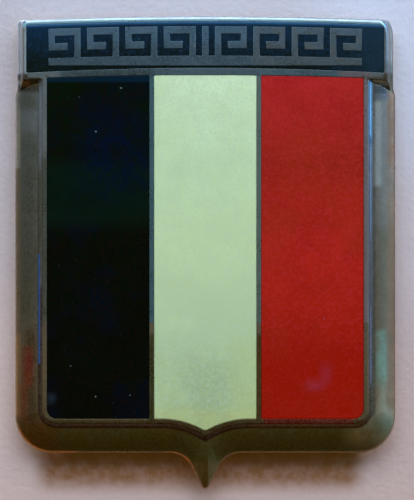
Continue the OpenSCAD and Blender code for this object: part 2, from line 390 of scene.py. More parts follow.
def clipped(outline: Sequence[Point], limit: float, keep: int) -> list[Point]:
    """Cuts an outline along an upright line.

    Args:
        outline: The outline.
        limit: Where the line stands, along x.
        keep: 1 keeps what lies to the right of the line, and -1 what lies to the left.

    Returns:
        The part that is kept, without doubled points.
    """
    kept: list[Point] = []
    for i, (x, z) in enumerate(outline):
        last_x, last_z = outline[i - 1]
        if (x - limit) * (last_x - limit) < 0:
            t = (limit - last_x) / (x - last_x)
            kept.append((limit, last_z + t * (z - last_z)))
        if (x - limit) * keep >= 0:
            kept.append((x, z))
    return [p for i, p in enumerate(kept) if math.dist(p, kept[i - 1]) > 1e-4]


def on_face(outline: Sequence[Point], height: float) -> list[Place]:
    """The outline as a ring of places at a height in front of the back rim."""
    return [(x, -height, z) for x, z in outline]


@dataclass(frozen=True)
class ShieldForm:
    """The sizes of the shield's face, as the CAD source has them, and the outlines they give."""

    top_z: float = 37.75
    stripe_w: float = 17.33
    divider_w: float = 0.76
    field_h: float = 58.1
    field_corner_r: float = 1.7
    dip_half_w: float = 7.5
    dip_r: float = 14.7
    dip_tip_w: float = 0.5
    header_enamel_h: float = 7.9
    rail_w: float = 1.15
    top_rim_w: float = 0.9
    header_side_rim: float = 0.6
    header_draft: float = 0.98
    header_inset: float = 0.35
    underside_run: float = 0.8
    top_arch: float = 0.65
    low_arch: float = 0.95
    right_corner: Point = (1.2, 3.0)
    left_corner: Point = (0.55, 1.3)
    border_w: float = 0.7
    step_run: float = 0.75
    side_bevel_w: float = 3.95
    bottom_bevel_w: float = 4.4
    corner_r: float = 6.4
    tip_start: float = 6.0
    tip_arc_r: float = 4.0
    tip_slope: float = 62.0
    tip_w: float = 0.8
    top_h: float = 4.2
    step_h: float = 0.8
    edge_h: float = 1.3
    lip_h: float = 0.6
    lip_w: float = 0.45
    bevel_crown: float = 0.25
    enamel_floor_h: float = 3.4
    ceiling_h: float = 2.2
    rim_w: float = 1.1
    rim_wall_h: float = 0.5
    arc_steps: int = 20
    corner_steps: int = 8
    arch_steps: int = 14
    tip_steps: int = 5

    @property
    def field_half_w(self) -> float:
        """Half the width of the enamel field."""
        return 1.5 * self.stripe_w + self.divider_w

    @property
    def half_w(self) -> float:
        """Half the width of the shield."""
        return self.field_half_w + self.border_w + self.step_run + self.side_bevel_w

    @property
    def header_half_w(self) -> float:
        """Half the width of the header block at its foot."""
        return self.half_w - self.header_inset

    @property
    def header_top_half_w(self) -> float:
        """Half the width of the header block at its face."""
        return self.header_half_w - self.header_draft

    @property
    def band_half_w(self) -> float:
        """Half the width of the header's enamel."""
        return self.header_top_half_w - self.header_side_rim

    @property
    def band_top_z(self) -> float:
        """The crown of the header's enamel."""
        return self.top_z - self.top_rim_w

    @property
    def band_low_z(self) -> float:
        """The crown of the lower edge of the header's enamel."""
        return self.band_top_z - self.header_enamel_h

    @property
    def field_top_z(self) -> float:
        """The crown of the top edge of the enamel field."""
        return self.band_low_z - self.rail_w

    @property
    def field_low_z(self) -> float:
        """The level part of the lower edge of the enamel field."""
        return self.field_top_z - self.field_h

    @property
    def shoulder_z(self) -> float:
        """The level part of the lower edge of the shield."""
        return self.field_low_z - self.border_w - self.step_run - self.bottom_bevel_w

    @property
    def step_foot_h(self) -> float:
        """The height at which the step round the field starts."""
        return self.top_h - self.step_h

    @property
    def nick(self) -> tuple[float, float]:
        """Where the outline widens from the header to the shield, from and to."""
        high = self.field_top_z - self.underside_run * (self.top_h - self.edge_h)
        return high, high - self.header_inset * 3

    def arch_drop(self, x: float) -> float:
        """How far the arched top edges lie below their crown at x."""
        return self.top_arch * (x / self.header_half_w) ** 2

    def low_drop(self, x: float) -> float:
        """How far the arched lower edges of the header lie below their crown at x."""
        return self.low_arch * (x / self.header_half_w) ** 2

    def top_points(self, half_w: float, crown_z: float, corner: Point) -> list[Point]:
        """The arched top edge of a right half, with its rounded corner.

        Args:
            half_w: How far it reaches.
            crown_z: Its height in the middle.
            corner: The two radii of the corner.

        Returns:
            Its points from the middle outwards.
        """
        edge_x = half_w - corner[0]
        xs = (edge_x * i / self.arch_steps for i in range(self.arch_steps))
        centre = (edge_x, crown_z - self.arch_drop(edge_x) - corner[1])
        return [
            *((x, crown_z - self.arch_drop(x)) for x in xs),
            *arc(centre, corner, 90, 0, self.corner_steps),
        ]

    def shield_half(self, half_w_top: float, half_w: float, crown_z: float, corner: Point,
                    low_z: float, round_r: float, arc_x: float, arc_r: float, slope: float,
                    end_w: float) -> list[Point]:
        """The right half of an outline whose lower edge runs down into a point.

        Args:
            half_w_top: Half the width at the header.
            half_w: Half the width below it.
            crown_z: The crown of the top edge.
            corner: Width and height of the rounding of the top corner.
            low_z: The level part of the lower edge.
            round_r: Radius of the bottom corner.
            arc_x: Where the lower edge starts to run down.
            arc_r: Radius of that run.
            slope: Slope of its straight end in degrees.
            end_w: Width of the point.

        Returns:
            The points, from the middle of the top to the middle of the point.
        """
        run = arc((arc_x, low_z - arc_r), (arc_r, arc_r), 90, 90 + slope, self.arc_steps)
        end_x, end_z = run[-1]
        lean = math.radians(slope)
        point_z = end_z - (end_x - end_w / 2) * math.tan(lean)
        end_r = end_w / 2 * math.sin(lean) / (1 - math.cos(lean))
        return [
            *self.top_points(half_w_top, crown_z, corner),
            (half_w_top, self.nick[0]),
            (half_w, self.nick[1]),
            *arc((half_w - round_r, low_z + round_r), (round_r, round_r), 0, -90, self.arc_steps),
            *run,
            *arc((0, point_z + end_r), (end_r, end_r), slope - 90, -90, self.tip_steps),
        ]

    def outer_half(self, inset: float, corner: Point) -> list[Point]:
        """Half of the outer outline, moved in, with this top corner."""
        return self.shield_half(
            self.header_half_w - inset, self.half_w - inset, self.top_z - inset, corner,
            self.shoulder_z + inset, self.corner_r - inset, self.tip_start,
            self.tip_arc_r + inset, self.tip_slope, self.tip_w)

    def field_half(self, out: float) -> list[Point]:
        """The right half of the outline of the enamel field.

        Args:
            out: How far it is moved out.

        Returns:
            Its points from the middle of the top.
        """
        corner_r = 0.3
        arc_r = self.dip_r - out
        slope = math.degrees(math.asin((self.dip_half_w - self.dip_tip_w) / arc_r))
        return self.shield_half(
            self.field_half_w + out, self.field_half_w + out,
            self.field_top_z + min(out, self.rail_w / 2), (corner_r, corner_r),
            self.field_low_z - out, self.field_corner_r + out, self.dip_half_w, arc_r, slope,
            self.dip_tip_w)

    def header_half(self, half_w: float, crown_z: float, low_z: float, corner: Point) -> list[Point]:
        """Half of the header block, arched above and below, with this top corner."""
        xs = (half_w * i / self.arch_steps for i in range(self.arch_steps, -1, -1))
        return [
            *self.top_points(half_w, crown_z, corner),
            *((x, low_z - self.low_drop(x)) for x in xs),
        ]

    def bevel_height(self, t: float) -> float:
        """The height of the bevelled border, t of the way from the lip to the step."""
        low = self.edge_h + self.lip_h
        return low + t * (self.step_foot_h - low) + 4 * self.bevel_crown * t * (1 - t)

    def stripe(self, place: int) -> list[Point]:
        """The outline of one enamel stripe: -1 is the left, 0 the middle and 1 the right one."""
        middle = place * (self.stripe_w + self.divider_w)
        field = whole(self.field_half(0))
        right_of = clipped(field, middle - self.stripe_w / 2, 1)
        return clipped(right_of, middle + self.stripe_w / 2, -1)

    def band(self) -> list[Point]:
        """The outline of the header's enamel, whose four corners differ a little."""
        w, steps = self.band_half_w, self.corner_steps
        sharp, round_r, low_r = 0.25, 0.8, 0.3
        low_z = self.band_low_z - self.low_drop(w)
        top_z = self.band_top_z - self.arch_drop(w)
        top_xs = [i * (w - 1) / self.arch_steps for i in range(self.arch_steps + 1)]
        low_xs = [*reversed(top_xs), *(-x for x in top_xs[1:])]
        return [
            *((x, self.band_top_z - self.arch_drop(x)) for x in top_xs),
            *arc((w - round_r, top_z - round_r), (round_r, round_r), 90, 0, steps),
            *arc((w - low_r, low_z + low_r), (low_r, low_r), 0, -90, steps),
            *((x, self.band_low_z - self.low_drop(x)) for x in low_xs),
            *arc((low_r - w, low_z + low_r), (low_r, low_r), -90, -180, steps),
            *arc((sharp - w, top_z - sharp), (sharp, sharp), 180, 90, steps),
            *((-x, self.band_top_z - self.arch_drop(x)) for x in reversed(top_xs[1:])),
        ]


@dataclass(frozen=True)
class KeyOrnament:
    """The raised key ornament: hooks on a base line, facing away from an upright in the middle."""

    form: ShieldForm
    stroke: float = 1.08
    height: float = 6.2
    hooks: int = 4
    foot_h: float = 3.35
    edge_round: float = 0.08
    rows: tuple[str, ...] = ("######", ".#....", ".#.###", ".#...#", ".#####")

    @property
    def half_cells(self) -> int:
        """How many cells stand on each side of the middle one."""
        return self.hooks * len(self.rows[0])

    @property
    def low_z(self) -> float:
        """The lower edge of the base line at the middle."""
        return self.form.band_low_z + (self.form.header_enamel_h - self.height) / 2

    def is_metal(self, x: float, z: float) -> bool:
        """Says whether the cell of the ornament round a point is raised."""
        column = abs(round(x / self.stroke))
        row = int((z - self.low_z) / (self.height / len(self.rows)))
        if column == 0:
            return True
        return self.rows[row][(column - 1) % len(self.rows[0])] == "#"

    def plate(self, low_h: float, high_h: float, spread: float = 0.0) -> Obj:
        """Models the ornament as a solid between two heights.

        Args:
            low_h: The height of its foot.
            high_h: The height of its face.
            spread: How far its sides are moved out.

        Returns:
            The solid, with square edges.
        """
        columns, rows = 2 * self.half_cells + 1, len(self.rows)
        Bench.clear()
        bpy.ops.mesh.primitive_grid_add(x_subdivisions=columns, y_subdivisions=rows, size=2)
        obj = bpy.context.object
        half_w = columns * self.stroke / 2
        for vertex in obj.data.vertices:
            x, z = vertex.co.x * half_w, self.low_z + (vertex.co.y + 1) / 2 * self.height
            vertex.co = (x, -low_h, z)
        Bench.choose_faces(obj, lambda face: not self.is_metal(face.center.x, face.center.z))
        with Bench.editing(obj, Element.FACE):
            bpy.ops.mesh.delete(type="FACE")
            bpy.ops.mesh.select_all(action="SELECT")
            bpy.ops.mesh.normals_make_consistent(inside=False)
            bpy.ops.mesh.extrude_region_move(
                TRANSFORM_OT_translate={"value": (0, low_h - high_h, 0)})
            bpy.ops.mesh.select_all(action="SELECT")
            bpy.ops.mesh.normals_make_consistent(inside=False)
            if spread:
                bpy.ops.transform.shrink_fatten(value=spread)
        return obj

    def arch(self, obj: Obj) -> None:
        """Lets the ornament follow the arch of the header."""
        for vertex in obj.data.vertices:
            vertex.co.z -= self.form.arch_drop(vertex.co.x)

    def raised(self) -> Obj:
        """Models the ornament with rounded top edges."""
        obj = self.plate(self.foot_h, self.form.top_h)
        with Bench.editing(obj, Element.FACE):
            bpy.ops.mesh.select_all(action="SELECT")
            bpy.ops.mesh.dissolve_limited(angle_limit=math.radians(1))
        top_y = -self.form.top_h
        Bench.choose_edges(obj, lambda a, b: abs(a.y - top_y) < 1e-4 and abs(b.y - top_y) < 1e-4)
        with Bench.editing(obj, Element.EDGE):
            bpy.ops.mesh.bevel(offset=self.edge_round, segments=2, profile=0.5)
        self.arch(obj)
        return obj

    def cutter(self) -> Obj:
        """Models the space that the ornament takes in the enamel."""
        obj = self.plate(self.foot_h - 0.3, self.form.top_h + 1, 0.01)
        self.arch(obj)
        return obj


@dataclass(frozen=True)
class Shield:
    """The struck metal shield, with its bevelled border, header block, recesses and hollow back."""

    form: ShieldForm
    lip_round_w: float = 0.8
    lip_round_from: float = 1.15
    lip_turn: float = math.radians(60)
    back_edge: float = 0.12
    lip_steps: int = 5
    bevel_steps: int = 9
    foot_fillet: float = 0.26
    wall_round: float = 0.12
    block_foot_h: float = 0.6
    block_inset: float = 0.15
    side_round_h: float = 0.6
    side_round_w: float = 0.3
    top_round_h: float = 0.75
    top_round_w: float = 0.62
    low_round_w: float = 0.1
    recess_round: float = 0.025
    header_levels: tuple[float, ...] = (2.6, 2.85, 3.1, 3.35, 3.6, 3.75, 3.88, 3.99, 4.08, 4.14, 4.18)
    dish_steps: tuple[float, ...] = (0.15, 0.3, 0.45, 0.6, 0.72, 0.82)

    def body_rings(self, corner: Point) -> list[tuple[list[Point], float]]:
        """The edge, the lip, the bevelled border and the step up to the field.

        Args:
            corner: Width and height of the rounding of the top corner.

        Returns:
            Half of each ring's outline, and its height.
        """
        form = self.form
        lip, foot = form.outer_half(form.lip_w, corner), form.field_half(form.border_w + form.step_run)
        border_run = form.side_bevel_w + form.step_run + form.border_w
        lip_share = (self.lip_round_w - form.lip_w) / (border_run - form.lip_w)
        rings = [
            (form.outer_half(self.back_edge, corner), 0.0),
            (form.outer_half(0, corner), self.back_edge),
            (form.outer_half(0, corner), self.lip_round_from),
        ]
        rise = form.bevel_height(lip_share) - self.lip_round_from
        for k in range(1, self.lip_steps):
            angle = self.lip_turn * k / self.lip_steps
            inset = self.lip_round_w * 2 * (1 - math.cos(angle))
            rings.append((form.outer_half(inset, corner),
                          self.lip_round_from + rise * math.sin(angle) / math.sin(self.lip_turn)))
        fillet_share = self.foot_fillet / form.side_bevel_w
        for k in range(self.bevel_steps + 1):
            t = lip_share + (1 - fillet_share - lip_share) * k / self.bevel_steps
            rings.append((mixed((1 - t, lip), (t, foot)), form.bevel_height(t)))
        bevel_end, bevel_end_h = rings[-1]
        up = self.foot_fillet / form.step_h
        wall_start = form.field_half(form.border_w + form.step_run * (1 - up))
        for u in (0.25, 0.5, 0.75, 1.0):
            rings.append((
                curved(bevel_end, foot, wall_start, u),
                curve_height(bevel_end_h, form.step_foot_h, form.step_foot_h + form.step_h * up, u)))
        wall_end = form.field_half(form.border_w + self.wall_round)
        wall_end_h = form.top_h - self.wall_round
        for u in (0.0, 0.35, 0.7, 1.0):
            rings.append((
                curved(wall_end, form.field_half(form.border_w),
                       form.field_half(form.border_w - self.wall_round), u),
                curve_height(wall_end_h, form.top_h, form.top_h, u)))
        return rings

    def body(self) -> Obj:
        """Models the plate under the header and the field."""
        halves = zip(self.body_rings(self.form.right_corner), self.body_rings(self.form.left_corner))
        return skin("body", [on_face(whole(right, left), h) for (right, h), (left, _) in halves], Ends.FACES)

    def header(self) -> Obj:
        """Models the header block, with leaning walls and a well rounded top rim."""
        form, foot_h = self.form, self.block_foot_h
        foot_w, foot_top = form.header_half_w - self.block_inset, form.top_z - self.block_inset / 3
        rings = []
        for height in (foot_h, *self.header_levels, form.top_h):
            lean = (height - foot_h) / (form.top_h - foot_h)
            side, top = (self.rounded_in(form.top_h - height, reach)
                         for reach in (self.side_round_h, self.top_round_h))
            half_w = foot_w + lean * (form.header_top_half_w - foot_w) - self.side_round_w * side
            low_z = form.field_top_z - form.underside_run * (form.top_h - height) + self.low_round_w * side
            right, left = (form.header_half(half_w, foot_top - self.top_round_w * top, low_z, corner)
                           for corner in (form.right_corner, form.left_corner))
            rings.append(on_face(whole(right, left), height))
        return skin("header", rings, Ends.FACES)

    @staticmethod
    def rounded_in(below: float, reach: float) -> float:
        """How far a rounded edge is drawn in, from 0 to 1, at a distance below its top."""
        u = min(1.0, below / reach)
        return 1 - math.sqrt(1 - (1 - u) ** 2)

    def hollow(self) -> Obj:
        """Models the dish that is cut out of the back."""
        form = self.form
        corner = form.right_corner
        mouth, foot = form.outer_half(form.rim_w, corner), form.field_half(form.border_w + form.step_run)
        rise = form.ceiling_h - form.rim_wall_h
        rings = [on_face(whole(mouth), -1), on_face(whole(mouth), 0.0),
                 on_face(whole(form.outer_half(form.rim_w + 0.1, corner)), form.rim_wall_h)]
        for t in self.dish_steps:
            height = form.rim_wall_h + rise * math.sin(math.radians(90 * t / self.dish_steps[-1])) ** 0.9
            rings.append(on_face(whole(mixed((1 - t, mouth), (t, foot))), height))
        return skin("hollow", rings, Ends.FACES)

    def recess(self, outline: Sequence[Point]) -> Obj:
        """Models the space of one enamel, whose mouth is slightly rounded."""
        form, mouth = self.form, self.recess_round
        levels = [(0, form.enamel_floor_h), (0, form.top_h - mouth), (mouth * 0.35, form.top_h - mouth * 0.35),
                  (mouth, form.top_h), (mouth * 1.4, form.top_h + 0.5)]
        return skin("recess", [on_face(grown(outline, d), h) for d, h in levels], Ends.FACES)

    def model(self) -> Obj:
        """Models the whole shield."""
        shield = self.body()
        Bench.join(shield, self.header(), Join.UNITE)
        Bench.join(shield, self.hollow(), Join.CUT)
        outlines = [self.form.band(), *(self.form.stripe(place) for place in (-1, 0, 1))]
        Bench.join(shield, Bench.merge([self.recess(o) for o in outlines]), Join.CUT)
        return Bench.merge([KeyOrnament(self.form).raised(), shield])


@dataclass(frozen=True)
class Glaze:
    """One field of fired enamel, slightly domed at its rim."""

    form: ShieldForm
    piece: Piece
    outline: tuple[Point, ...]
    strips: int = 9
    foot_h: float = 3.42
    rims: tuple[Point, ...] = ((0.01, 4.03), (0.05, 4.07), (0.12, 4.1), (0.22, 4.12))

    def model(self) -> Obj:
        """Models the enamel as a plate with a rounded rim."""
        rings = [on_face(grown(self.outline, -self.rims[0][0]), self.foot_h)]
        rings += [on_face(grown(self.outline, -inset), height) for inset, height in self.rims]
        plate = skin(self.piece.name, rings, Ends.FACES)
        low_z, high_z = min(z for _, z in self.outline), max(z for _, z in self.outline)
        with Bench.editing(plate, Element.FACE):
            for i in range(1, self.strips):
                cut_z = low_z + (high_z - low_z) * (i - 0.03) / self.strips
                bpy.ops.mesh.select_all(action="SELECT")
                bpy.ops.mesh.bisect(plane_co=(0, 0, cut_z), plane_no=(0, 0, 1))
        return plate


def round_ring(axis_x: float, y: float, radius: Callable[[float], float], count: int) -> list[Place]:
    """A ring of places round a stud's axis.

    Args:
        axis_x: Where the axis lies along x.
        y: How far out of the back the ring lies.
        radius: The radius at an angle.
        count: How many places the ring has.

    Returns:
        The places, starting at +x.
    """
    angles = (math.tau * i / count for i in range(count))
    return [(axis_x + radius(a) * math.cos(a), y, radius(a) * math.sin(a)) for a in angles]


def plain_ring(axis_x: float, y: float, radius: float, count: int) -> list[Place]:
    """A truly round ring of places round a stud's axis."""
    return round_ring(axis_x, y, lambda _: radius, count)


def turned(name: str, axis_x: float, profile: Sequence[Point], ends: Ends,
           count: int = 64) -> Obj:
    """Makes a turned solid round a stud's axis.

    Args:
        name: The name of the new object.
        axis_x: Where the axis lies along x.
        profile: Radius and y of each corner of the profile.
        ends: How the ends are closed.
        count: How many places each ring has.

    Returns:
        The new object.
    """
    return skin(name, [plain_ring(axis_x, y, r, count) for r, y in profile], ends)


@dataclass(frozen=True)
class Thread:
    """The metric thread of the studs and nuts."""

    pitch: float = 0.7
    depth: float = 0.43
    steps: int = 8

    def crest(self, angle: float, y: float) -> float:
        """How high the helix stands at an angle and a place, from 0 at the root to 1."""
        phase = (y / self.pitch - angle / math.tau) % 1
        return min(1.0, max(0.0, (1 - abs(2 * phase - 1)) * 1.2 - 0.1))

    def rings(self, axis_x: float, start: float, end: float, root_r: float, grow: float,
              count: int) -> list[list[Place]]:
        """The rings of a threaded stretch, which runs out at both ends.

        Args:
            axis_x: Where the axis lies along x.
            start: The first y.
            end: The last y.
            root_r: The radius at the root.
            grow: The height of the crest, negative in a nut.
            count: How many places each ring has.

        Returns:
            The rings from start to end.
        """
        total = max(2, round(abs(end - start) / self.pitch * self.steps))
        rings = []
        for i in range(total + 1):
            y = start + (end - start) * i / total
            fade = min(1.0, min(i, total - i) / self.steps)
            rings.append(round_ring(
                axis_x, y, lambda a, y=y, f=fade: root_r + grow * f * self.crest(a, y), count))
        return rings


@dataclass(frozen=True)
class Stud:
    """A stud with a flat foot inside the shield, a plain shank and a thread."""

    side: Side
    thread: Thread
    spacing: float = 30.0
    radius: float = 2.0
    shank_end: float = 5.8
    thread_end: float = 21.2
    end_y: float = 22.0
    foot_r: float = 4.5
    foot_y: tuple[float, float] = (-2.2, -1.2)
    count: int = 48

    @property
    def axis_x(self) -> float:
        """Where the axis lies along x."""
        return self.side.value * self.spacing / 2

    def model(self) -> Obj:
        """Models the stud with its helix."""
        root_r = self.radius - self.thread.depth
        low, high = self.foot_y
        start = [(self.foot_r - 0.08, low), (self.foot_r, low + 0.08), (self.foot_r, high - 0.15),
                 (self.foot_r - 0.04, high - 0.04), (self.foot_r - 0.15, high),
                 (self.radius + 0.3, high), (self.radius + 0.1, high + 0.08),
                 (self.radius, high + 0.3), (self.radius, self.shank_end - 0.5),
                 (self.radius - 0.04, self.shank_end - 0.35), (root_r, self.shank_end)]
        tip = [(root_r - 0.02, self.thread_end), (root_r - 0.3, self.thread_end + 0.35),
               (root_r - 0.75, self.end_y - 0.12), (root_r - 1.2, self.end_y - 0.01), (0.12, self.end_y)]
        rings = [plain_ring(self.axis_x, y, r, self.count) for r, y in start]
        rings += self.thread.rings(self.axis_x, self.shank_end + 0.05, self.thread_end - 0.1, root_r,
                                   self.thread.depth, self.count)
        rings += [plain_ring(self.axis_x, y, r, self.count) for r, y in tip]
        return skin("stud", rings, Ends.FACES)


@dataclass(frozen=True)
class SolderBead:
    """The uneven bead of solder round the foot of a stud."""

    axis_x: float
    inner_r: float = 4.52
    low_y: float = -2.2
    width: float = 1.3
    height: float = 0.85
    lump: float = 0.16
    count: int = 72

    def model(self) -> Obj:
        """Models the bead as a lumpy fillet."""
        curve = [(0.0, 0.0), (1.0, 0.0), (0.8, 0.06), (0.55, 0.2), (0.33, 0.42), (0.16, 0.7), (0.06, 1.0),
                 (0.0, 1.0)]

        def ring(out: float, up: float) -> list[Place]:
            """Makes one uneven ring of the bead.

            Args:
                out: How far out it lies, as a share of the bead's width.
                up: How high it lies, as a share of its height.

            Returns:
                Its places.
            """
            def radius(angle: float) -> float:
                """The radius at an angle."""
                here = Vector((math.cos(angle), math.sin(angle), self.axis_x)) * 1.7
                return self.inner_r + out * (self.width + self.lump * noise.noise(here))

            def rise(angle: float) -> float:
                """The y at an angle."""
                here = Vector((math.cos(angle), math.sin(angle), self.axis_x + 5)) * 2.3
                return self.low_y + up * (self.height - self.lump * (0.5 + 0.5 * noise.noise(here)))

            places = round_ring(self.axis_x, 0, radius, self.count)
            return [(x, rise(math.tau * i / self.count), z) for i, (x, _, z) in enumerate(places)]

        return skin("bead", [ring(out, up) for out, up in curve], Ends.LOOP)


@dataclass(frozen=True)
class ClampStrap:
    """The strap that spans both studs, with rounded edges, two holes and a pressed rib."""

    length: float = 50.0
    width: float = 12.0
    low_y: float = 8.0
    thickness: float = 2.0
    edge_r: float = 0.35
    rib_length: float = 16.0
    rib_width: float = 4.0
    rib_height: float = 0.8
    rib_spread: float = 0.6
    rib_slope_w: float = 0.9
    rib_shoulder: float = 0.97
    rib_crown_inset: float = 3.2
    rib_steps: int = 8
    hole_r: float = 2.25
    spacing: float = 30.0
    end_steps: int = 24

    def slot_ring(self, length: float, width: float, y: float) -> list[Place]:
        """A ring with two round ends."""
        reach, r = (length - width) / 2, width / 2
        right = arc((reach, 0), (r, r), 90, -90, self.end_steps)
        left = arc((-reach, 0), (r, r), 270, 90, self.end_steps)
        return [(x, y, z) for x, z in right + left]

    def hole(self, side: Side) -> Obj:
        """Models the space of one hole, widened at both mouths."""
        low, high, r = self.low_y, self.low_y + self.thickness, self.hole_r
        profile = [(r + 0.5, low - 0.4), (r + 0.1, low), (r, low + 0.1), (r, high - 0.1),
                   (r + 0.1, high), (r + 0.5, high + 0.4)]
        return turned("hole", side.value * self.spacing / 2, profile, Ends.FACES, 48)

    def model(self) -> Obj:
        """Models the strap."""
        low, high, r = self.low_y, self.low_y + self.thickness, self.edge_r
        turns = [math.radians(22.5 * k) for k in range(5)]
        edge = [(1 - math.sin(a), low + r * (1 - math.cos(a))) for a in turns]
        edge += [(1 - math.cos(a), high - r * (1 - math.sin(a))) for a in turns]
        rings = [self.slot_ring(self.length - 2 * r * inset, self.width - 2 * r * inset, y) for inset, y in edge]
        for t in (k / self.rib_steps for k in range(self.rib_steps + 1)):
            wider = self.rib_spread - 2 * self.rib_slope_w * t
            rise = t * t * (3 - 2 * t) * self.rib_shoulder
            rings.append(self.slot_ring(self.rib_length + wider, self.rib_width + wider,
                                        high + self.rib_height * rise))
        crown = [size - self.rib_crown_inset for size in (self.rib_length, self.rib_width)]
        rings.append(self.slot_ring(*crown, high + self.rib_height))
        strap = skin("strap", rings, Ends.FACES)
        Bench.join(strap, Bench.merge([self.hole(side) for side in Side]), Join.CUT)
        return strap


@dataclass(frozen=True)
class Washer:
    """A flat washer whose edges are rounded, in rubber or steel."""

    axis_x: float
    low_y: float
    thickness: float
    outer_r: float
    inner_r: float = 2.25
    edge_r: float = 0.15
    swell: float = 0.0

    def model(self) -> Obj:
        """Models the washer."""
        low, high, r = self.low_y, self.low_y + self.thickness, self.edge_r
        middle = (low + high) / 2
        corner = [(math.sin(math.radians(a)), math.cos(math.radians(a))) for a in (0, 30, 60, 90)]
        outer, inner = self.outer_r - self.swell, self.inner_r
        profile = [(outer - r + r * s, low + r - r * c) for s, c in corner]
        profile += [(outer + self.swell * 0.8, low + (middle - low) * 0.6), (self.outer_r, middle),
                    (outer + self.swell * 0.8, high - (middle - low) * 0.6)] if self.swell else []
        profile += [(outer - r + r * s, high - r + r * c) for s, c in reversed(corner)]
        profile += [(inner + r - r * s, high - r + r * c) for s, c in corner]
        profile += [(inner + r - r * s, low + r - r * c) for s, c in reversed(corner)]
        return turned("washer", self.axis_x, profile, Ends.LOOP)


@dataclass(frozen=True)
class SplitWasher:
    """A spring washer: a helical turn of square wire with a slanted cut."""

    axis_x: float
    low_y: float = 10.8
    thickness: float = 1.1
    outer_r: float = 3.8
    inner_r: float = 2.25
    lift: float = 0.12
    wire_round: float = 0.12
    cut: float = 0.7
    slant: float = 30.0
    steps: int = 72

    def model(self) -> Obj:
        """Models the wire along its turn."""
        wire_h, r = self.thickness - self.lift, self.wire_round
        inner, outer = self.inner_r, self.outer_r
        middle_r = (outer + inner) / 2
        half_cut = self.cut / 2 / middle_r
        lean = math.tan(math.radians(self.slant)) / middle_r
        corners = [(inner + r, 0), (outer - r, 0), (outer, r), (outer, wire_h - r), (outer - r, wire_h),
                   (inner + r, wire_h), (inner, wire_h - r), (inner, r)]
        rings = []
        for i in range(self.steps + 1):
            t = i / self.steps
            angle = math.pi / 2 + half_cut + (math.tau - 2 * half_cut) * t
            ring = []
            for radius, up in corners:
                turn = angle + lean * (up - wire_h / 2)
                ring.append((self.axis_x + radius * math.cos(turn), self.low_y + up + self.lift * t,
                             -radius * math.sin(turn)))
            rings.append(ring)
        return skin("wire", rings, Ends.FACES)


@dataclass(frozen=True)
class KnurledNut:
    """A thumb nut with a smooth collar, a ridged head and a threaded bore."""

    axis_x: float
    thread: Thread
    low_y: float = 11.9
    collar_r: float = 4.0
    collar_h: float = 1.2
    head_r: float = 5.5
    head_h: float = 3.8
    bore_r: float = 2.05
    ridges: int = 30
    ridge_depth: float = 0.35
    chamfer: float = 0.5
    count: int = 240

    def ridge(self, angle: float) -> float:
        """How deep the groove is at an angle."""
        wave = 0.5 - 0.5 * math.cos(angle * self.ridges)
        return self.ridge_depth * wave ** 1.6

    def model(self) -> Obj:
        """Models the nut, outside first and then down through its bore."""
        foot, head = self.low_y + self.collar_h, self.low_y + self.collar_h + self.head_h
        cut = self.chamfer

        def plain(radius: float, y: float) -> list[Place]:
            """A plain round ring."""
            return plain_ring(self.axis_x, y, radius, self.count)

        def ridged(limit: float, y: float) -> list[Place]:
            """A ring of ridges, turned down to a limit."""
            return round_ring(self.axis_x, y, lambda a: min(limit, self.head_r - self.ridge(a)), self.count)

        rings = [plain(self.bore_r + 0.35, self.low_y), plain(self.collar_r - 0.15, self.low_y),
                 plain(self.collar_r, self.low_y + 0.15), plain(self.collar_r, foot - 0.1),
                 plain(self.collar_r + 0.1, foot)]
        turns = [math.radians(90 * t) for t in (0, 0.33, 0.66, 1)]
        rim = [(self.head_r - cut * (1 - math.sin(a)), cut * (1 - math.cos(a))) for a in turns]
        rings += [ridged(limit, foot + up) for limit, up in rim]
        rings += [ridged(limit, head - up) for limit, up in reversed(rim)]
        rings += [plain(3.9, head), plain(3.7, head - 0.12), plain(3.0, head - 0.12),
                  plain(self.bore_r + 0.4, head - 0.06)]
        rings += self.thread.rings(self.axis_x, head - 0.35, self.low_y + 0.3, self.bore_r + 0.3, -0.3, self.count)
        return skin("nut", rings, Ends.LOOP)


def linear(colour: Colour) -> tuple[float, ...]:
    """Turns a colour as it is seen into what a node takes.

    Args:
        colour: Its red, green and blue, from 0 to 255.

    Returns:
        Its linear red, green and blue, and a full alpha.
    """
    seen = (channel / 255 for channel in colour)
    return *(c / 12.92 if c <= 0.04045 else ((c + 0.055) / 1.055) ** 2.4 for c in seen), 1.0


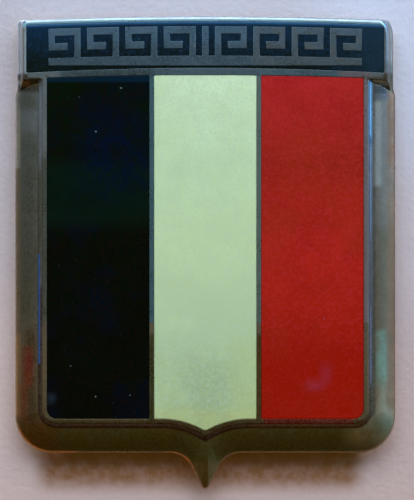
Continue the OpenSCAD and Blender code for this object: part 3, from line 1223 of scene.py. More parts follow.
class Graph:
    """Adds shader nodes to a tree and links them."""

    def __init__(self, tree: bpy.types.NodeTree) -> None:
        """Starts with an empty tree."""
        self.tree = tree
        tree.nodes.clear()

    def feed(self, socket: Socket, value: Value) -> None:
        """Links a socket to an input, or sets the input's own value.

        Args:
            socket: The input.
            value: What goes into it.
        """
        if isinstance(value, bpy.types.NodeSocket):
            self.tree.links.new(value, socket)
        elif isinstance(value, tuple) and len(value) == 3 and socket.type == "RGBA":
            socket.default_value = linear(value)
        else:
            socket.default_value = value

    def node(self, kind: str, inputs: dict[str | int, Value] | None = None,
             **settings: object) -> bpy.types.Node:
        """Adds a node.

        Args:
            kind: The node's type.
            inputs: What goes into its inputs, by name or number.
            settings: Its own settings.

        Returns:
            The node.
        """
        made = self.tree.nodes.new(kind)
        for key, setting in settings.items():
            setattr(made, key, setting)
        for key, value in (inputs or {}).items():
            self.feed(made.inputs[key], value)
        return made

    def math(self, operation: str, first: Value, second: Value = 0.0) -> Socket:
        """The result of a math node."""
        return self.node("ShaderNodeMath", {0: first, 1: second}, operation=operation).outputs[0]

    def times(self, first: Value, second: Value) -> Socket:
        """The product of two values."""
        return self.math("MULTIPLY", first, second)

    def mix(self, share: Value, first: Value, second: Value) -> Socket:
        """A mix of two colours."""
        made = self.node("ShaderNodeMix", {0: share, 6: first, 7: second}, data_type="RGBA")
        return made.outputs[2]

    def tint(self, mask: Value, share: float, under: Value, colour: Value) -> Socket:
        """A colour with another laid over it, at this share where the mask is full."""
        return self.mix(self.times(mask, share), under, colour)

    def between(self, share: Value, low: float, high: float) -> Socket:
        """A value from low to high as a share goes from 0 to 1."""
        return self.node("ShaderNodeMapRange", {0: share, 3: low, 4: high}, clamp=False).outputs[0]

    def smooth(self, value: Value, start: Value, end: Value) -> Socket:
        """A smooth step from 0 at the start to 1 at the end."""
        return self.node("ShaderNodeMapRange", {0: value, 1: start, 2: end},
                         interpolation_type="SMOOTHSTEP", clamp=False).outputs[0]

    def ramp(self, value: Value, start: float, end: float, colours: Sequence[Colour]) -> Socket:
        """Spreads colours evenly over a range of a value.

        Args:
            value: What picks the colour.
            start: Where the first colour lies.
            end: Where the last one lies.
            colours: The colours in order.

        Returns:
            The colour.
        """
        share = self.node("ShaderNodeMapRange", {0: value, 1: start, 2: end}).outputs[0]
        made = self.node("ShaderNodeValToRGB", {0: share})
        stops = made.color_ramp.elements
        while len(stops) < len(colours):
            stops.new(0.5)
        for i, colour in enumerate(colours):
            stops[i].position = i / (len(colours) - 1)
            stops[i].color = linear(colour)
        return made.outputs[0]

    def group(self, effect: "Effect", inputs: dict[str, Value]) -> Socket:
        """The output of one of the shared effects."""
        made = self.node("ShaderNodeGroup", node_tree=effect.tree())
        for key, value in inputs.items():
            self.feed(made.inputs[key], value)
        return made.outputs[0]


class Effect(Enum):
    """Shared masks, each a node group that is built once.

    Each mask method takes the group's graph and its inputs, and gives the mask.
    """

    BAND = "within a range"
    MOTTLE = "cloudy patches"
    SPECKS = "scattered specks"
    SCRATCHES = "fine scratches"

    def tree(self) -> bpy.types.NodeTree:
        """The node group of this effect."""
        found = bpy.data.node_groups.get(self.value)
        if found:
            return found
        made = bpy.data.node_groups.new(self.value, "ShaderNodeTree")
        numbers, outlet = self.recipe()
        if outlet is not Effect.band_mask:
            made.interface.new_socket("Vector", in_out="INPUT", socket_type="NodeSocketVector")
        for name in numbers:
            made.interface.new_socket(name, in_out="INPUT", socket_type="NodeSocketFloat")
        made.interface.new_socket("Mask", in_out="OUTPUT", socket_type="NodeSocketFloat")
        graph = Graph(made)
        source = graph.node("NodeGroupInput")
        graph.node("NodeGroupOutput", {0: outlet(graph, source.outputs)})
        return made

    def recipe(self) -> tuple[tuple[str, ...], Callable[[Graph, bpy.types.NodeOutputs], Socket]]:
        """The names of the group's numbers, and what makes its mask."""
        return {
            Effect.BAND: (("Value", "Low", "High", "Blur"), Effect.band_mask),
            Effect.MOTTLE: (("Scale", "Detail", "From", "To"), Effect.mottle_mask),
            Effect.SPECKS: (("Scale", "Size", "Share"), Effect.specks_mask),
            Effect.SCRATCHES: (("Scale", "Width", "Share"), Effect.scratches_mask),
        }[self]

    @staticmethod
    def band_mask(graph: Graph, put: bpy.types.NodeOutputs) -> Socket:
        """1 between Low and High, with edges as soft as Blur."""
        half = graph.times(put["Blur"], 0.5)
        low, high = put["Low"], put["High"]
        rising = graph.smooth(put["Value"], graph.math("SUBTRACT", low, half), graph.math("ADD", low, half))
        falling = graph.smooth(put["Value"], graph.math("ADD", high, half), graph.math("SUBTRACT", high, half))
        return graph.times(rising, falling)

    @staticmethod
    def mottle_mask(graph: Graph, put: bpy.types.NodeOutputs) -> Socket:
        """Clouds of noise, cut off between From and To."""
        clouds = graph.node("ShaderNodeTexNoise", {
            "Vector": put["Vector"], "Scale": put["Scale"], "Detail": put["Detail"], "Roughness": 0.6})
        return graph.smooth(clouds.outputs[0], put["From"], put["To"])

    @staticmethod
    def specks_mask(graph: Graph, put: bpy.types.NodeOutputs) -> Socket:
        """Dots of uneven size in a share of the cells."""
        cells = graph.node("ShaderNodeTexVoronoi", {"Vector": put["Vector"], "Scale": put["Scale"]})
        chance = graph.node("ShaderNodeSeparateColor", {0: cells.outputs["Color"]})
        size = graph.times(put["Size"], chance.outputs[1])
        dot = graph.smooth(cells.outputs["Distance"], size, graph.times(size, 0.5))
        return graph.times(dot, graph.math("LESS_THAN", chance.outputs[0], put["Share"]))

    @staticmethod
    def scratches_mask(graph: Graph, put: bpy.types.NodeOutputs) -> Socket:
        """Thin lines along the level curves of a noise, in a share of the surface."""
        lines = graph.node("ShaderNodeTexNoise", {
            "Vector": put["Vector"], "Scale": put["Scale"], "Detail": 1.0, "Distortion": 0.3})
        off = graph.math("ABSOLUTE", graph.math("SUBTRACT", lines.outputs[0], 0.5))
        thin = graph.smooth(off, put["Width"], 0.0)
        where = graph.node("ShaderNodeTexNoise", {
            "Vector": put["Vector"], "Scale": graph.times(put["Scale"], 0.37), "Detail": 2.0})
        shown = graph.smooth(where.outputs[0], graph.math("SUBTRACT", 0.75, put["Share"]), 0.8)
        return graph.times(thin, shown)


EVERYWHERE = (-90.0, 90.0)


@dataclass(frozen=True)
class Patch:
    """A stained or worn place in a finish, a painted highlight, reflection or shade, given by ranges in
    millimetres.

    Args:
        colour: Its colour.
        share: How strong it is, from 0 to 1.
        x: Its range from left to right.
        height: Its range in front of the back rim.
        z: Its range from low to high.
        arched: Its range from low to high, counted along the arch of the header.
        blur: How soft its ends are along x and z.
        height_blur: How soft its ends are along the height.
        cloud: How far it is broken up, from 0 to 1.
        grain: The scale of that, per millimetre.
        dots: How many cells of that scale have a dot, for dust in place of a stain.
    """

    colour: Colour
    share: float = 1.0
    x: Point = EVERYWHERE
    height: Point = EVERYWHERE
    z: Point = EVERYWHERE
    arched: Point = EVERYWHERE
    blur: float = 1.0
    height_blur: float = 0.15
    cloud: float = 0.0
    grain: float = 0.5
    dots: float = 0.0

    def lay(self, canvas: "Canvas", under: Value) -> Socket:
        """Lays the patch over a colour.

        Args:
            canvas: The surface that it lies on.
            under: The colour under it.

        Returns:
            The colour with the patch.
        """
        graph, mask = canvas.graph, self.share
        for value, limits, blur in ((canvas.x, self.x, self.blur), (canvas.z, self.z, self.blur),
                                    (canvas.arched, self.arched, self.blur),
                                    (canvas.height, self.height, self.height_blur)):
            if limits != EVERYWHERE:
                mask = graph.times(mask, graph.group(Effect.BAND, {
                    "Value": value, "Low": limits[0], "High": limits[1], "Blur": blur}))
        if self.cloud:
            clouds = canvas.mottle(self.grain, 0.38, 0.62)
            mask = graph.times(mask, graph.between(clouds, 1 - self.cloud, 1.0))
        if self.dots:
            mask = graph.times(mask, canvas.specks(self.grain, 0.3, self.dots))
        return graph.mix(mask, under, self.colour)


class Canvas:
    """A new material with its shader and the places on it in millimetres."""

    ARCH = 0.65 / 31.69 ** 2
    """How fast the header's arch drops: this times the square of x."""

    def __init__(self, name: str, plain: dict[str, float]) -> None:
        """Makes the material.

        Args:
            name: The name of the material.
            plain: The shader's values that are the same all over, by their socket's name.
        """
        self.material = bpy.data.materials.new(name)
        self.material.use_nodes = True
        self.graph = Graph(self.material.node_tree)
        self.shader = self.graph.node("ShaderNodeBsdfPrincipled")
        for key, value in plain.items():
            self.shader.inputs[key].default_value = value
        self.graph.node("ShaderNodeOutputMaterial", {0: self.shader.outputs[0]})
        place = self.graph.node("ShaderNodeTexCoord").outputs["Object"]
        self.vector = self.graph.node("ShaderNodeVectorMath", {0: place, "Scale": 1 / MM},
                                      operation="SCALE").outputs[0]
        split = self.graph.node("ShaderNodeSeparateXYZ", {0: self.vector}).outputs
        self.x, _, self.z = split
        self.height = self.graph.times(split[1], -1.0)
        droop = self.graph.times(self.graph.times(self.x, self.x), self.ARCH)
        self.arched = self.graph.math("ADD", self.z, droop)

    def stretched(self, x: float, y: float, z: float) -> Socket:
        """The place, scaled by a different amount along each axis."""
        return self.graph.node("ShaderNodeVectorMath", {0: self.vector, 1: (x, y, z)},
                               operation="MULTIPLY").outputs[0]

    def mottle(self, scale: float, low: float, high: float, detail: float = 4.0) -> Socket:
        """A cloudy mask."""
        return self.graph.group(Effect.MOTTLE, {
            "Vector": self.vector, "Scale": scale, "Detail": detail, "From": low, "To": high})

    def specks(self, scale: float, size: float, share: float) -> Socket:
        """A mask of specks."""
        return self.graph.group(Effect.SPECKS, {
            "Vector": self.vector, "Scale": scale, "Size": size, "Share": share})

    def scratches(self, vector: Socket, scale: float, width: float, share: float) -> Socket:
        """A mask of fine scratches."""
        return self.graph.group(Effect.SCRATCHES, {
            "Vector": vector, "Scale": scale, "Width": width, "Share": share})

    def bump(self, height: Value, distance: float) -> None:
        """Raises the surface by a height of 0 to 1 times a distance in millimetres."""
        made = self.graph.node("ShaderNodeBump", {
            "Height": height, "Strength": 1.0, "Distance": distance * MM})
        self.graph.feed(self.shader.inputs["Normal"], made.outputs[0])

    def finish(self, colour: Value, roughness: Value) -> Material:
        """Sets colour and roughness and returns the material."""
        self.graph.feed(self.shader.inputs["Base Color"], colour)
        self.graph.feed(self.shader.inputs["Roughness"], roughness)
        return self.material


@dataclass(frozen=True)
class StruckMetal:
    """Nickelled brass, struck in a die and tarnished, worn to the brass along the lip, with painted light laid into
    its colour.

    Args:
        face: Colours of the face from top to bottom, partly tarnish and partly a painted reflection, cool above and
            warm below.
        patches: Stains, wear, painted highlights, painted reflections and painted shade, in the order in which they
            are laid.
        top_z: Where the first colour lies.
        low_z: Where the last colour lies.
        roughness: From the smoothest to the roughest place.
    """

    face: tuple[Colour, ...]
    patches: tuple[Patch, ...]
    top_z: float = 38.0
    low_z: float = -42.0
    roughness: tuple[float, float] = (0.24, 0.42)

    def make(self) -> Material:
        """Builds the material."""
        canvas = Canvas("struck metal", {"Metallic": 1.0})
        graph = canvas.graph
        colour: Value = graph.ramp(canvas.z, self.low_z, self.top_z, self.face[::-1])
        for patch in self.patches:
            colour = patch.lay(canvas, colour)
        clouds = canvas.mottle(0.35, 0.3, 0.7)
        colour = graph.mix(graph.between(clouds, 0.0, 0.22), colour, (60, 50, 34))
        fine = canvas.mottle(2.6, 0.35, 0.65, 6.0)
        colour = graph.mix(graph.between(fine, 0.0, 0.18), colour, (150, 152, 150))
        pits = canvas.specks(2.2, 0.3, 0.16)
        colour = graph.tint(pits, 0.06, colour, (34, 26, 16))
        lines = canvas.scratches(canvas.stretched(1.0, 1.0, 0.12), 2.2, 0.02, 0.35)
        colour = graph.tint(lines, 0.25, colour, (190, 190, 184))
        worn = graph.math("ADD", graph.times(clouds, 0.6), graph.times(fine, 0.4))
        grain = graph.math("SUBTRACT", graph.times(fine, 0.35), graph.times(pits, 0.3))
        canvas.bump(graph.math("SUBTRACT", grain, graph.times(lines, 0.3)), 0.012)
        return canvas.finish(colour, graph.between(worn, *self.roughness))


@dataclass(frozen=True)
class StruckBack:
    """The rough inside of a struck shell, brown with age."""

    light: Colour = (138, 114, 78)
    dark: Colour = (84, 64, 42)
    green: Colour = (86, 110, 88)

    def make(self) -> Material:
        """Builds the material."""
        canvas = Canvas("struck back", {"Metallic": 0.85})
        graph = canvas.graph
        clouds = canvas.mottle(0.16, 0.35, 0.65, 6.0)
        colour = graph.mix(clouds, self.light, self.dark)
        rim = graph.smooth(canvas.height, 0.25, 0.05)
        colour = graph.tint(rim, 0.55, colour, (196, 164, 106))
        stain = canvas.mottle(0.42, 0.56, 0.72, 5.0)
        colour = graph.tint(stain, 0.5, colour, self.green)
        pits = canvas.specks(0.9, 0.4, 0.4)
        colour = graph.tint(pits, 0.6, colour, (38, 26, 16))
        rough = canvas.mottle(1.6, 0.3, 0.7, 6.0)
        canvas.bump(graph.math("SUBTRACT", rough, pits), 0.05)
        return canvas.finish(colour, graph.between(clouds, 0.36, 0.6))


@dataclass(frozen=True)
class Enamel:
    """Glossy fired enamel with fine pits, specks and a slightly wavy surface.

    Args:
        name: The name of the material.
        shades: Its colours from top to bottom.
        top_z: Where the first shade lies.
        low_z: Where the last shade lies.
        tint: The colour of its faint clouds and fine grain.
        tint_share: How strong they are.
        drift: The colour of its wide clouds.
        bloom: The colour of its small light blooms.
        bloom_share: How strong the wide clouds and the blooms are.
        speck: The colour of the specks.
        speck_share: How many cells have one.
        patches: Stains and marks.
        roughness: Lowest and highest roughness.
        gloss: The specular level.
        wave: Height of the waves in millimetres.
    """

    name: str
    shades: tuple[Colour, ...]
    top_z: float
    low_z: float
    tint: Colour
    tint_share: float
    drift: Colour
    bloom: Colour
    bloom_share: float
    speck: Colour
    speck_share: float
    patches: tuple[Patch, ...] = ()
    roughness: tuple[float, float] = (0.1, 0.2)
    gloss: float = 0.4
    wave: float = 0.03

    def make(self) -> Material:
        """Builds the material."""
        canvas = Canvas(self.name, {"Specular IOR Level": self.gloss})
        graph = canvas.graph
        colour: Value = graph.ramp(canvas.arched, self.low_z, self.top_z, self.shades[::-1])
        clouds = canvas.mottle(0.16, 0.3, 0.7, 5.0)
        colour = graph.tint(clouds, self.tint_share, colour, self.tint)
        grain = canvas.mottle(3.4, 0.32, 0.68, 3.0)
        colour = graph.tint(grain, self.tint_share * 0.9, colour, self.tint)
        wide = canvas.mottle(0.11, 0.46, 0.66, 3.0)
        colour = graph.tint(wide, self.bloom_share, colour, self.drift)
        blooms = canvas.mottle(2.3, 0.42, 0.66, 3.0)
        colour = graph.tint(blooms, self.bloom_share, colour, self.bloom)
        for patch in self.patches:
            colour = patch.lay(canvas, colour)
        dust = canvas.specks(0.7, 0.2, self.speck_share)
        fine_dust = canvas.specks(2.1, 0.24, self.speck_share * 1.5)
        colour = graph.tint(dust, 0.75, colour, self.speck)
        colour = graph.tint(fine_dust, 0.4, colour, self.speck)
        waves = canvas.mottle(0.22, 0.1, 0.9, 1.0)
        pits = graph.times(graph.math("ADD", dust, fine_dust), 0.25)
        canvas.bump(graph.math("SUBTRACT", waves, pits), self.wave)
        return canvas.finish(colour, graph.between(clouds, *self.roughness))


@dataclass(frozen=True)
class FixingMetal:
    """A plain metal of the fixings, with tarnish, stains and fine turning marks.

    Args:
        name: The name of the material.
        clean: Its clean colour.
        dull: Its tarnished colour.
        stain: The colour of its stains.
        stain_share: How strong the stains are.
        roughness: Lowest and highest roughness.
        grain: The scale of its fine marks per millimetre, along x, y and z.
        relief: The depth of those marks in millimetres.
    """

    name: str
    clean: Colour
    dull: Colour
    stain: Colour
    stain_share: float = 0.5
    roughness: tuple[float, float] = (0.25, 0.45)
    grain: Place = (0.6, 5.0, 0.6)
    relief: float = 0.008

    def make(self) -> Material:
        """Builds the material."""
        canvas = Canvas(self.name, {"Metallic": 1.0})
        graph = canvas.graph
        clouds = canvas.mottle(0.5, 0.3, 0.7, 6.0)
        colour = graph.mix(clouds, self.clean, self.dull)
        marks = graph.group(Effect.MOTTLE, {"Vector": canvas.stretched(*self.grain), "Scale": 2.0,
                                            "Detail": 3.0, "From": 0.3, "To": 0.7})
        colour = graph.tint(marks, 0.25, colour, self.dull)
        stains = canvas.mottle(1.1, 0.56, 0.7, 6.0)
        colour = graph.tint(stains, self.stain_share, colour, self.stain)
        pits = canvas.specks(2.4, 0.3, 0.25)
        colour = graph.tint(pits, 0.5, colour, self.stain)
        canvas.bump(graph.math("SUBTRACT", marks, pits), self.relief)
        return canvas.finish(colour, graph.between(graph.math("MAXIMUM", clouds, stains), *self.roughness))


@dataclass(frozen=True)
class SoftSolder:
    """Lumpy grey solder with a dull skin."""

    light: Colour = (176, 176, 170)
    dark: Colour = (108, 106, 98)

    def make(self) -> Material:
        """Builds the material."""
        canvas = Canvas("soft solder", {"Metallic": 0.9})
        graph = canvas.graph
        skin_mask = canvas.mottle(1.3, 0.35, 0.65, 5.0)
        colour = graph.mix(skin_mask, self.light, self.dark)
        flux = canvas.mottle(0.7, 0.6, 0.72, 4.0)
        colour = graph.tint(flux, 0.6, colour, (104, 74, 36))
        canvas.bump(canvas.mottle(2.0, 0.2, 0.8, 4.0), 0.06)
        return canvas.finish(colour, graph.between(skin_mask, 0.32, 0.55))


@dataclass(frozen=True)
class MattRubber:
    """Moulded black rubber, greyed and dusty."""

    fresh: Colour = (38, 38, 37)
    dusty: Colour = (82, 79, 72)

    def make(self) -> Material:
        """Builds the material."""
        canvas = Canvas("matt rubber", {"Specular IOR Level": 0.3})
        graph = canvas.graph
        dust = canvas.mottle(0.8, 0.45, 0.75, 6.0)
        colour = graph.mix(graph.between(dust, 0.0, 0.7), self.fresh, self.dusty)
        crumbs = canvas.specks(2.2, 0.3, 0.3)
        colour = graph.tint(crumbs, 0.6, colour, self.dusty)
        pores = canvas.mottle(5.0, 0.3, 0.7, 3.0)
        canvas.bump(graph.math("ADD", pores, crumbs), 0.02)
        return canvas.finish(colour, graph.between(dust, 0.7, 0.9))


@dataclass(frozen=True)
class PalePaper:
    """The pale sheet that the emblem is seen against, clear from behind.

    Args:
        shades: Its colours from top to bottom, pale paper painted cooler above and warmer below as painted light.
        stains: Painted light on the sheet: pools of cool light and warm shade, and the painted warm shadow under
            the emblem.
        top_z: Where the first shade lies.
        low_z: Where the last shade lies.
    """

    shades: tuple[Colour, ...] = ((194, 196, 211), (202, 199, 211), (204, 194, 202),
                                  (214, 192, 190))
    stains: tuple[Patch, ...] = (
        # The first three are painted pools of light and shade, and the last two the painted warm shadow under the
        # emblem's lower edge.
        Patch((206, 216, 240), 0.8, x=(22, 60), z=(14, 60), blur=24.0),
        Patch((228, 210, 208), 0.6, x=(-60, -33), z=(-36, -8), blur=14.0),
        Patch((190, 170, 166), 0.6, x=(34, 60), z=(-60, -12), blur=18.0),
        Patch((142, 94, 34), 0.9, x=(-28, 26), z=(-42.0, -35), blur=4.0, cloud=0.2),
        Patch((122, 94, 34), 0.95, x=(-24, 26), z=(-37.8, -30), blur=3.6))
    top_z: float = 40.0
    low_z: float = -44.0

    def make(self) -> Material:
        """Builds the material."""
        canvas = Canvas("pale paper", {"Specular IOR Level": 0.15})
        graph = canvas.graph
        colour: Value = graph.ramp(canvas.z, self.low_z, self.top_z, self.shades[::-1])
        fibres = canvas.mottle(0.9, 0.3, 0.7, 6.0)
        colour = graph.tint(fibres, 0.06, colour, (236, 226, 214))
        cast = canvas.mottle(0.05, 0.35, 0.65, 2.0)
        colour = graph.tint(cast, 0.06, colour, (176, 160, 176))
        # Lays the painted light and the painted shadow on the sheet.
        for stain in self.stains:
            colour = stain.lay(canvas, colour)
        canvas.bump(fibres, 0.04)
        material = canvas.finish(colour, 0.9)
        behind = graph.node("ShaderNodeNewGeometry").outputs["Backfacing"]
        clear = graph.node("ShaderNodeBsdfTransparent").outputs[0]
        shown = graph.node("ShaderNodeMixShader", {0: behind, 1: canvas.shader.outputs[0], 2: clear})
        outlet = next(n for n in graph.tree.nodes if n.type == "OUTPUT_MATERIAL")
        graph.feed(outlet.inputs[0], shown.outputs[0])
        return material


@dataclass(frozen=True)
class FixingPair:
    """The same piece at both studs, modelled on the left and copied to the right.

    Args:
        name: The name of the piece, without its side.
        node: The CAD node, without its side.
        slot: The record's material slot.
        body: What it rides on, or None for the thumb nut of its own side.
        crease: The angle in degrees above which an edge stays sharp.
    """

    name: str
    node: str
    slot: str
    body: Body | None = Body.SHIELD
    crease: float = 38

    def hand_over(self, left: Obj, material: Material, spacing: float) -> None:
        """Copies the left piece to the right and hands both over.

        Args:
            left: The finished left piece, in millimetres.
            material: What both are made of.
            spacing: How far apart the studs are.
        """
        Bench.take(left)
        bpy.ops.object.duplicate(linked=False)
        right = bpy.context.object
        with Bench.editing(right, Element.FACE):
            bpy.ops.mesh.select_all(action="SELECT")
            bpy.ops.transform.translate(value=(spacing, 0, 0))
        for side, obj in zip(Side, (left, right)):
            body = self.body or side.nut_body
            Piece(f"{side.word}_{self.name}", f"{side.word}_{self.node}", self.slot, body,
                  self.crease).hand_over(obj, material)


@dataclass(frozen=True)
class EnamelledFace:
    """The struck shield and its four fields of enamel."""

    form: ShieldForm
    metal: StruckMetal
    back: StruckBack
    header: Enamel
    stripes: tuple[Enamel, Enamel, Enamel]

    def build(self) -> None:
        """Models and dresses the shield and the enamels."""
        shield = Shield(self.form).model()
        Piece("struck_shield", "shield_shell", "struck_metal").hand_over(
            shield, self.metal.make(), self.back.make())
        self.dress_back(shield)
        band = Piece("band_glaze", "header_enamel", "header_enamel", crease=50)
        plate = Glaze(self.form, band, tuple(self.form.band())).model()
        Bench.join(plate, KeyOrnament(self.form).cutter(), Join.CUT)
        band.hand_over(plate, self.header.make())
        names = ("black", "yellow", "red")
        for place, (name, enamel) in enumerate(zip(names, self.stripes), -1):
            piece = Piece(f"{name}_glaze", f"{name}_enamel", f"{name}_enamel", crease=50)
            glaze = Glaze(self.form, piece, tuple(self.form.stripe(place)))
            piece.hand_over(glaze.model(), enamel.make())

    def dress_back(self, shield: Obj) -> None:
        """Gives the faces of the hollow back their own finish."""
        for face in shield.data.polygons:
            face.material_index = int(face.normal.y > 0.05)


@dataclass(frozen=True)
class StudMount:
    """The two studs and the solder that holds them."""

    brass: FixingMetal
    solder: SoftSolder
    stud: Stud

    def build(self) -> None:
        """Models and dresses the studs and their beads."""
        pair = FixingPair("threaded_stud", "stud", "stud_brass", crease=30)
        pair.hand_over(self.stud.model(), self.brass.make(), self.stud.spacing)
        pair = FixingPair("solder_bead", "solder", "solder")
        pair.hand_over(SolderBead(self.stud.axis_x).model(), self.solder.make(), self.stud.spacing)


@dataclass(frozen=True)
class ClampSet:
    """The clamp strap with its rubber pads and washers, which slides along the studs."""

    strap: ClampStrap
    axis_x: float
    strap_steel: FixingMetal
    rubber: MattRubber
    washer_steel: FixingMetal
    spring_steel: FixingMetal
    pad: tuple[float, float, float] = (6.0, 2.0, 5.5)
    flat: tuple[float, float, float] = (10.0, 0.8, 4.5)

    def build(self) -> None:
        """Models and dresses the strap, the pads and the washers."""
        Piece("clamp_strap", "clamp_bar", "clamp_steel", Body.CLAMP).hand_over(
            self.strap.model(), self.strap_steel.make())
        spacing = self.strap.spacing
        pad = Washer(self.axis_x, *self.pad, edge_r=0.3, swell=0.12)
        FixingPair("rubber_pad", "rubber_washer", "rubber", Body.CLAMP).hand_over(
            pad.model(), self.rubber.make(), spacing)
        FixingPair("flat_washer", "plain_washer", "washer_steel", Body.CLAMP).hand_over(
            Washer(self.axis_x, *self.flat).model(), self.washer_steel.make(), spacing)
        FixingPair("split_washer", "spring_washer", "spring_steel", Body.CLAMP).hand_over(
            SplitWasher(self.axis_x).model(), self.spring_steel.make(), spacing)


@dataclass(frozen=True)
class NutPair:
    """The two knurled thumb nuts."""

    nut: KnurledNut
    brass: FixingMetal
    spacing: float = 30.0

    def build(self) -> None:
        """Models and dresses the nuts."""
        FixingPair("knurled_nut", "thumb_nut", "nut_brass", None, 30).hand_over(
            self.nut.model(), self.brass.make(), self.spacing)


@dataclass(frozen=True)
class Lamp:
    """A plain soft lamp.

    Args:
        name: Its name.
        at: Where it hangs, in millimetres.
        aim: What it points at.
        size: Its width and height.
        power: Its power in watts.
        colour: The red, green and blue of its light, from 0 to 1.
    """

    name: str
    at: Place
    aim: Place
    size: Point
    power: float
    colour: tuple[float, float, float] = (1.0, 1.0, 1.0)

    def hang(self) -> None:
        """Adds the lamp."""
        data = bpy.data.lights.new(self.name, "AREA")
        data.shape = "RECTANGLE"
        data.size, data.size_y = (length * MM for length in self.size)
        data.energy, data.color = self.power, self.colour
        lamp = bpy.data.objects.new(self.name, data)
        bpy.context.scene.collection.objects.link(lamp)
        lamp.location = Vector(self.at) * MM
        lamp.rotation_euler = (Vector(self.aim) - Vector(self.at)).to_track_quat("-Z", "Y").to_euler()


@dataclass(frozen=True)
class Studio:
    """The pale sheet behind the emblem, the lamps, the soft light all round and the camera."""

    lamps: tuple[Lamp, ...]
    sky: tuple[Colour, ...]
    window: Colour
    paper: PalePaper = PalePaper()
    sheet_y: float = 2.0
    sheet_w: float = 600.0
    view_x: float = 0.29
    view_z: float = -1.77
    view_h: float = 84.39
    distance: float = 904.1

    def hang_sheet(self) -> None:
        """Hangs the sheet upright behind the shield."""
        Bench.clear()
        bpy.ops.mesh.primitive_plane_add(size=self.sheet_w * MM, location=(0, self.sheet_y * MM, 0),
                                         rotation=(math.radians(90), 0, 0))
        sheet = bpy.context.object
        bpy.ops.object.transform_apply(location=True, rotation=True, scale=True)
        sheet.name = "pale_sheet"
        sheet.data.materials.append(self.paper.make())
        sheet.visible_shadow = False

    def light_all_round(self) -> None:
        """Sets the soft light of the room, darker below than above and coolest on the right."""
        world = bpy.data.worlds.new("room")
        world.use_nodes = True
        graph = Graph(world.node_tree)
        way = graph.node("ShaderNodeTexCoord").outputs["Generated"]
        across, _, height = graph.node("ShaderNodeSeparateXYZ", {0: way}).outputs
        room = graph.ramp(height, -1, 1, self.sky)
        rightward = graph.times(graph.smooth(across, 0.35, 0.95), graph.smooth(height, -0.9, 0.3))
        light = graph.node("ShaderNodeBackground", {0: graph.mix(rightward, room, self.window)})
        graph.node("ShaderNodeOutputWorld", {0: light.outputs[0]})
        bpy.context.scene.world = world

    def set_camera(self) -> None:
        """Looks straight at the enamelled face."""
        data = bpy.data.cameras.new("camera")
        data.sensor_fit, data.sensor_height = "VERTICAL", 36.0
        data.lens = 36.0 * (self.distance - 4.1) / self.view_h
        camera = bpy.data.objects.new("camera", data)
        bpy.context.scene.collection.objects.link(camera)
        camera.location = Vector((self.view_x, -self.distance, self.view_z)) * MM
        camera.rotation_euler = (math.radians(90), 0, 0)
        bpy.context.scene.camera = camera

    def set_up(self) -> None:
        """Sets the whole stage."""
        self.hang_sheet()
        for lamp in self.lamps:
            lamp.hang()
        self.light_all_round()
        self.set_camera()
        bpy.context.scene.view_settings.view_transform = "Standard"


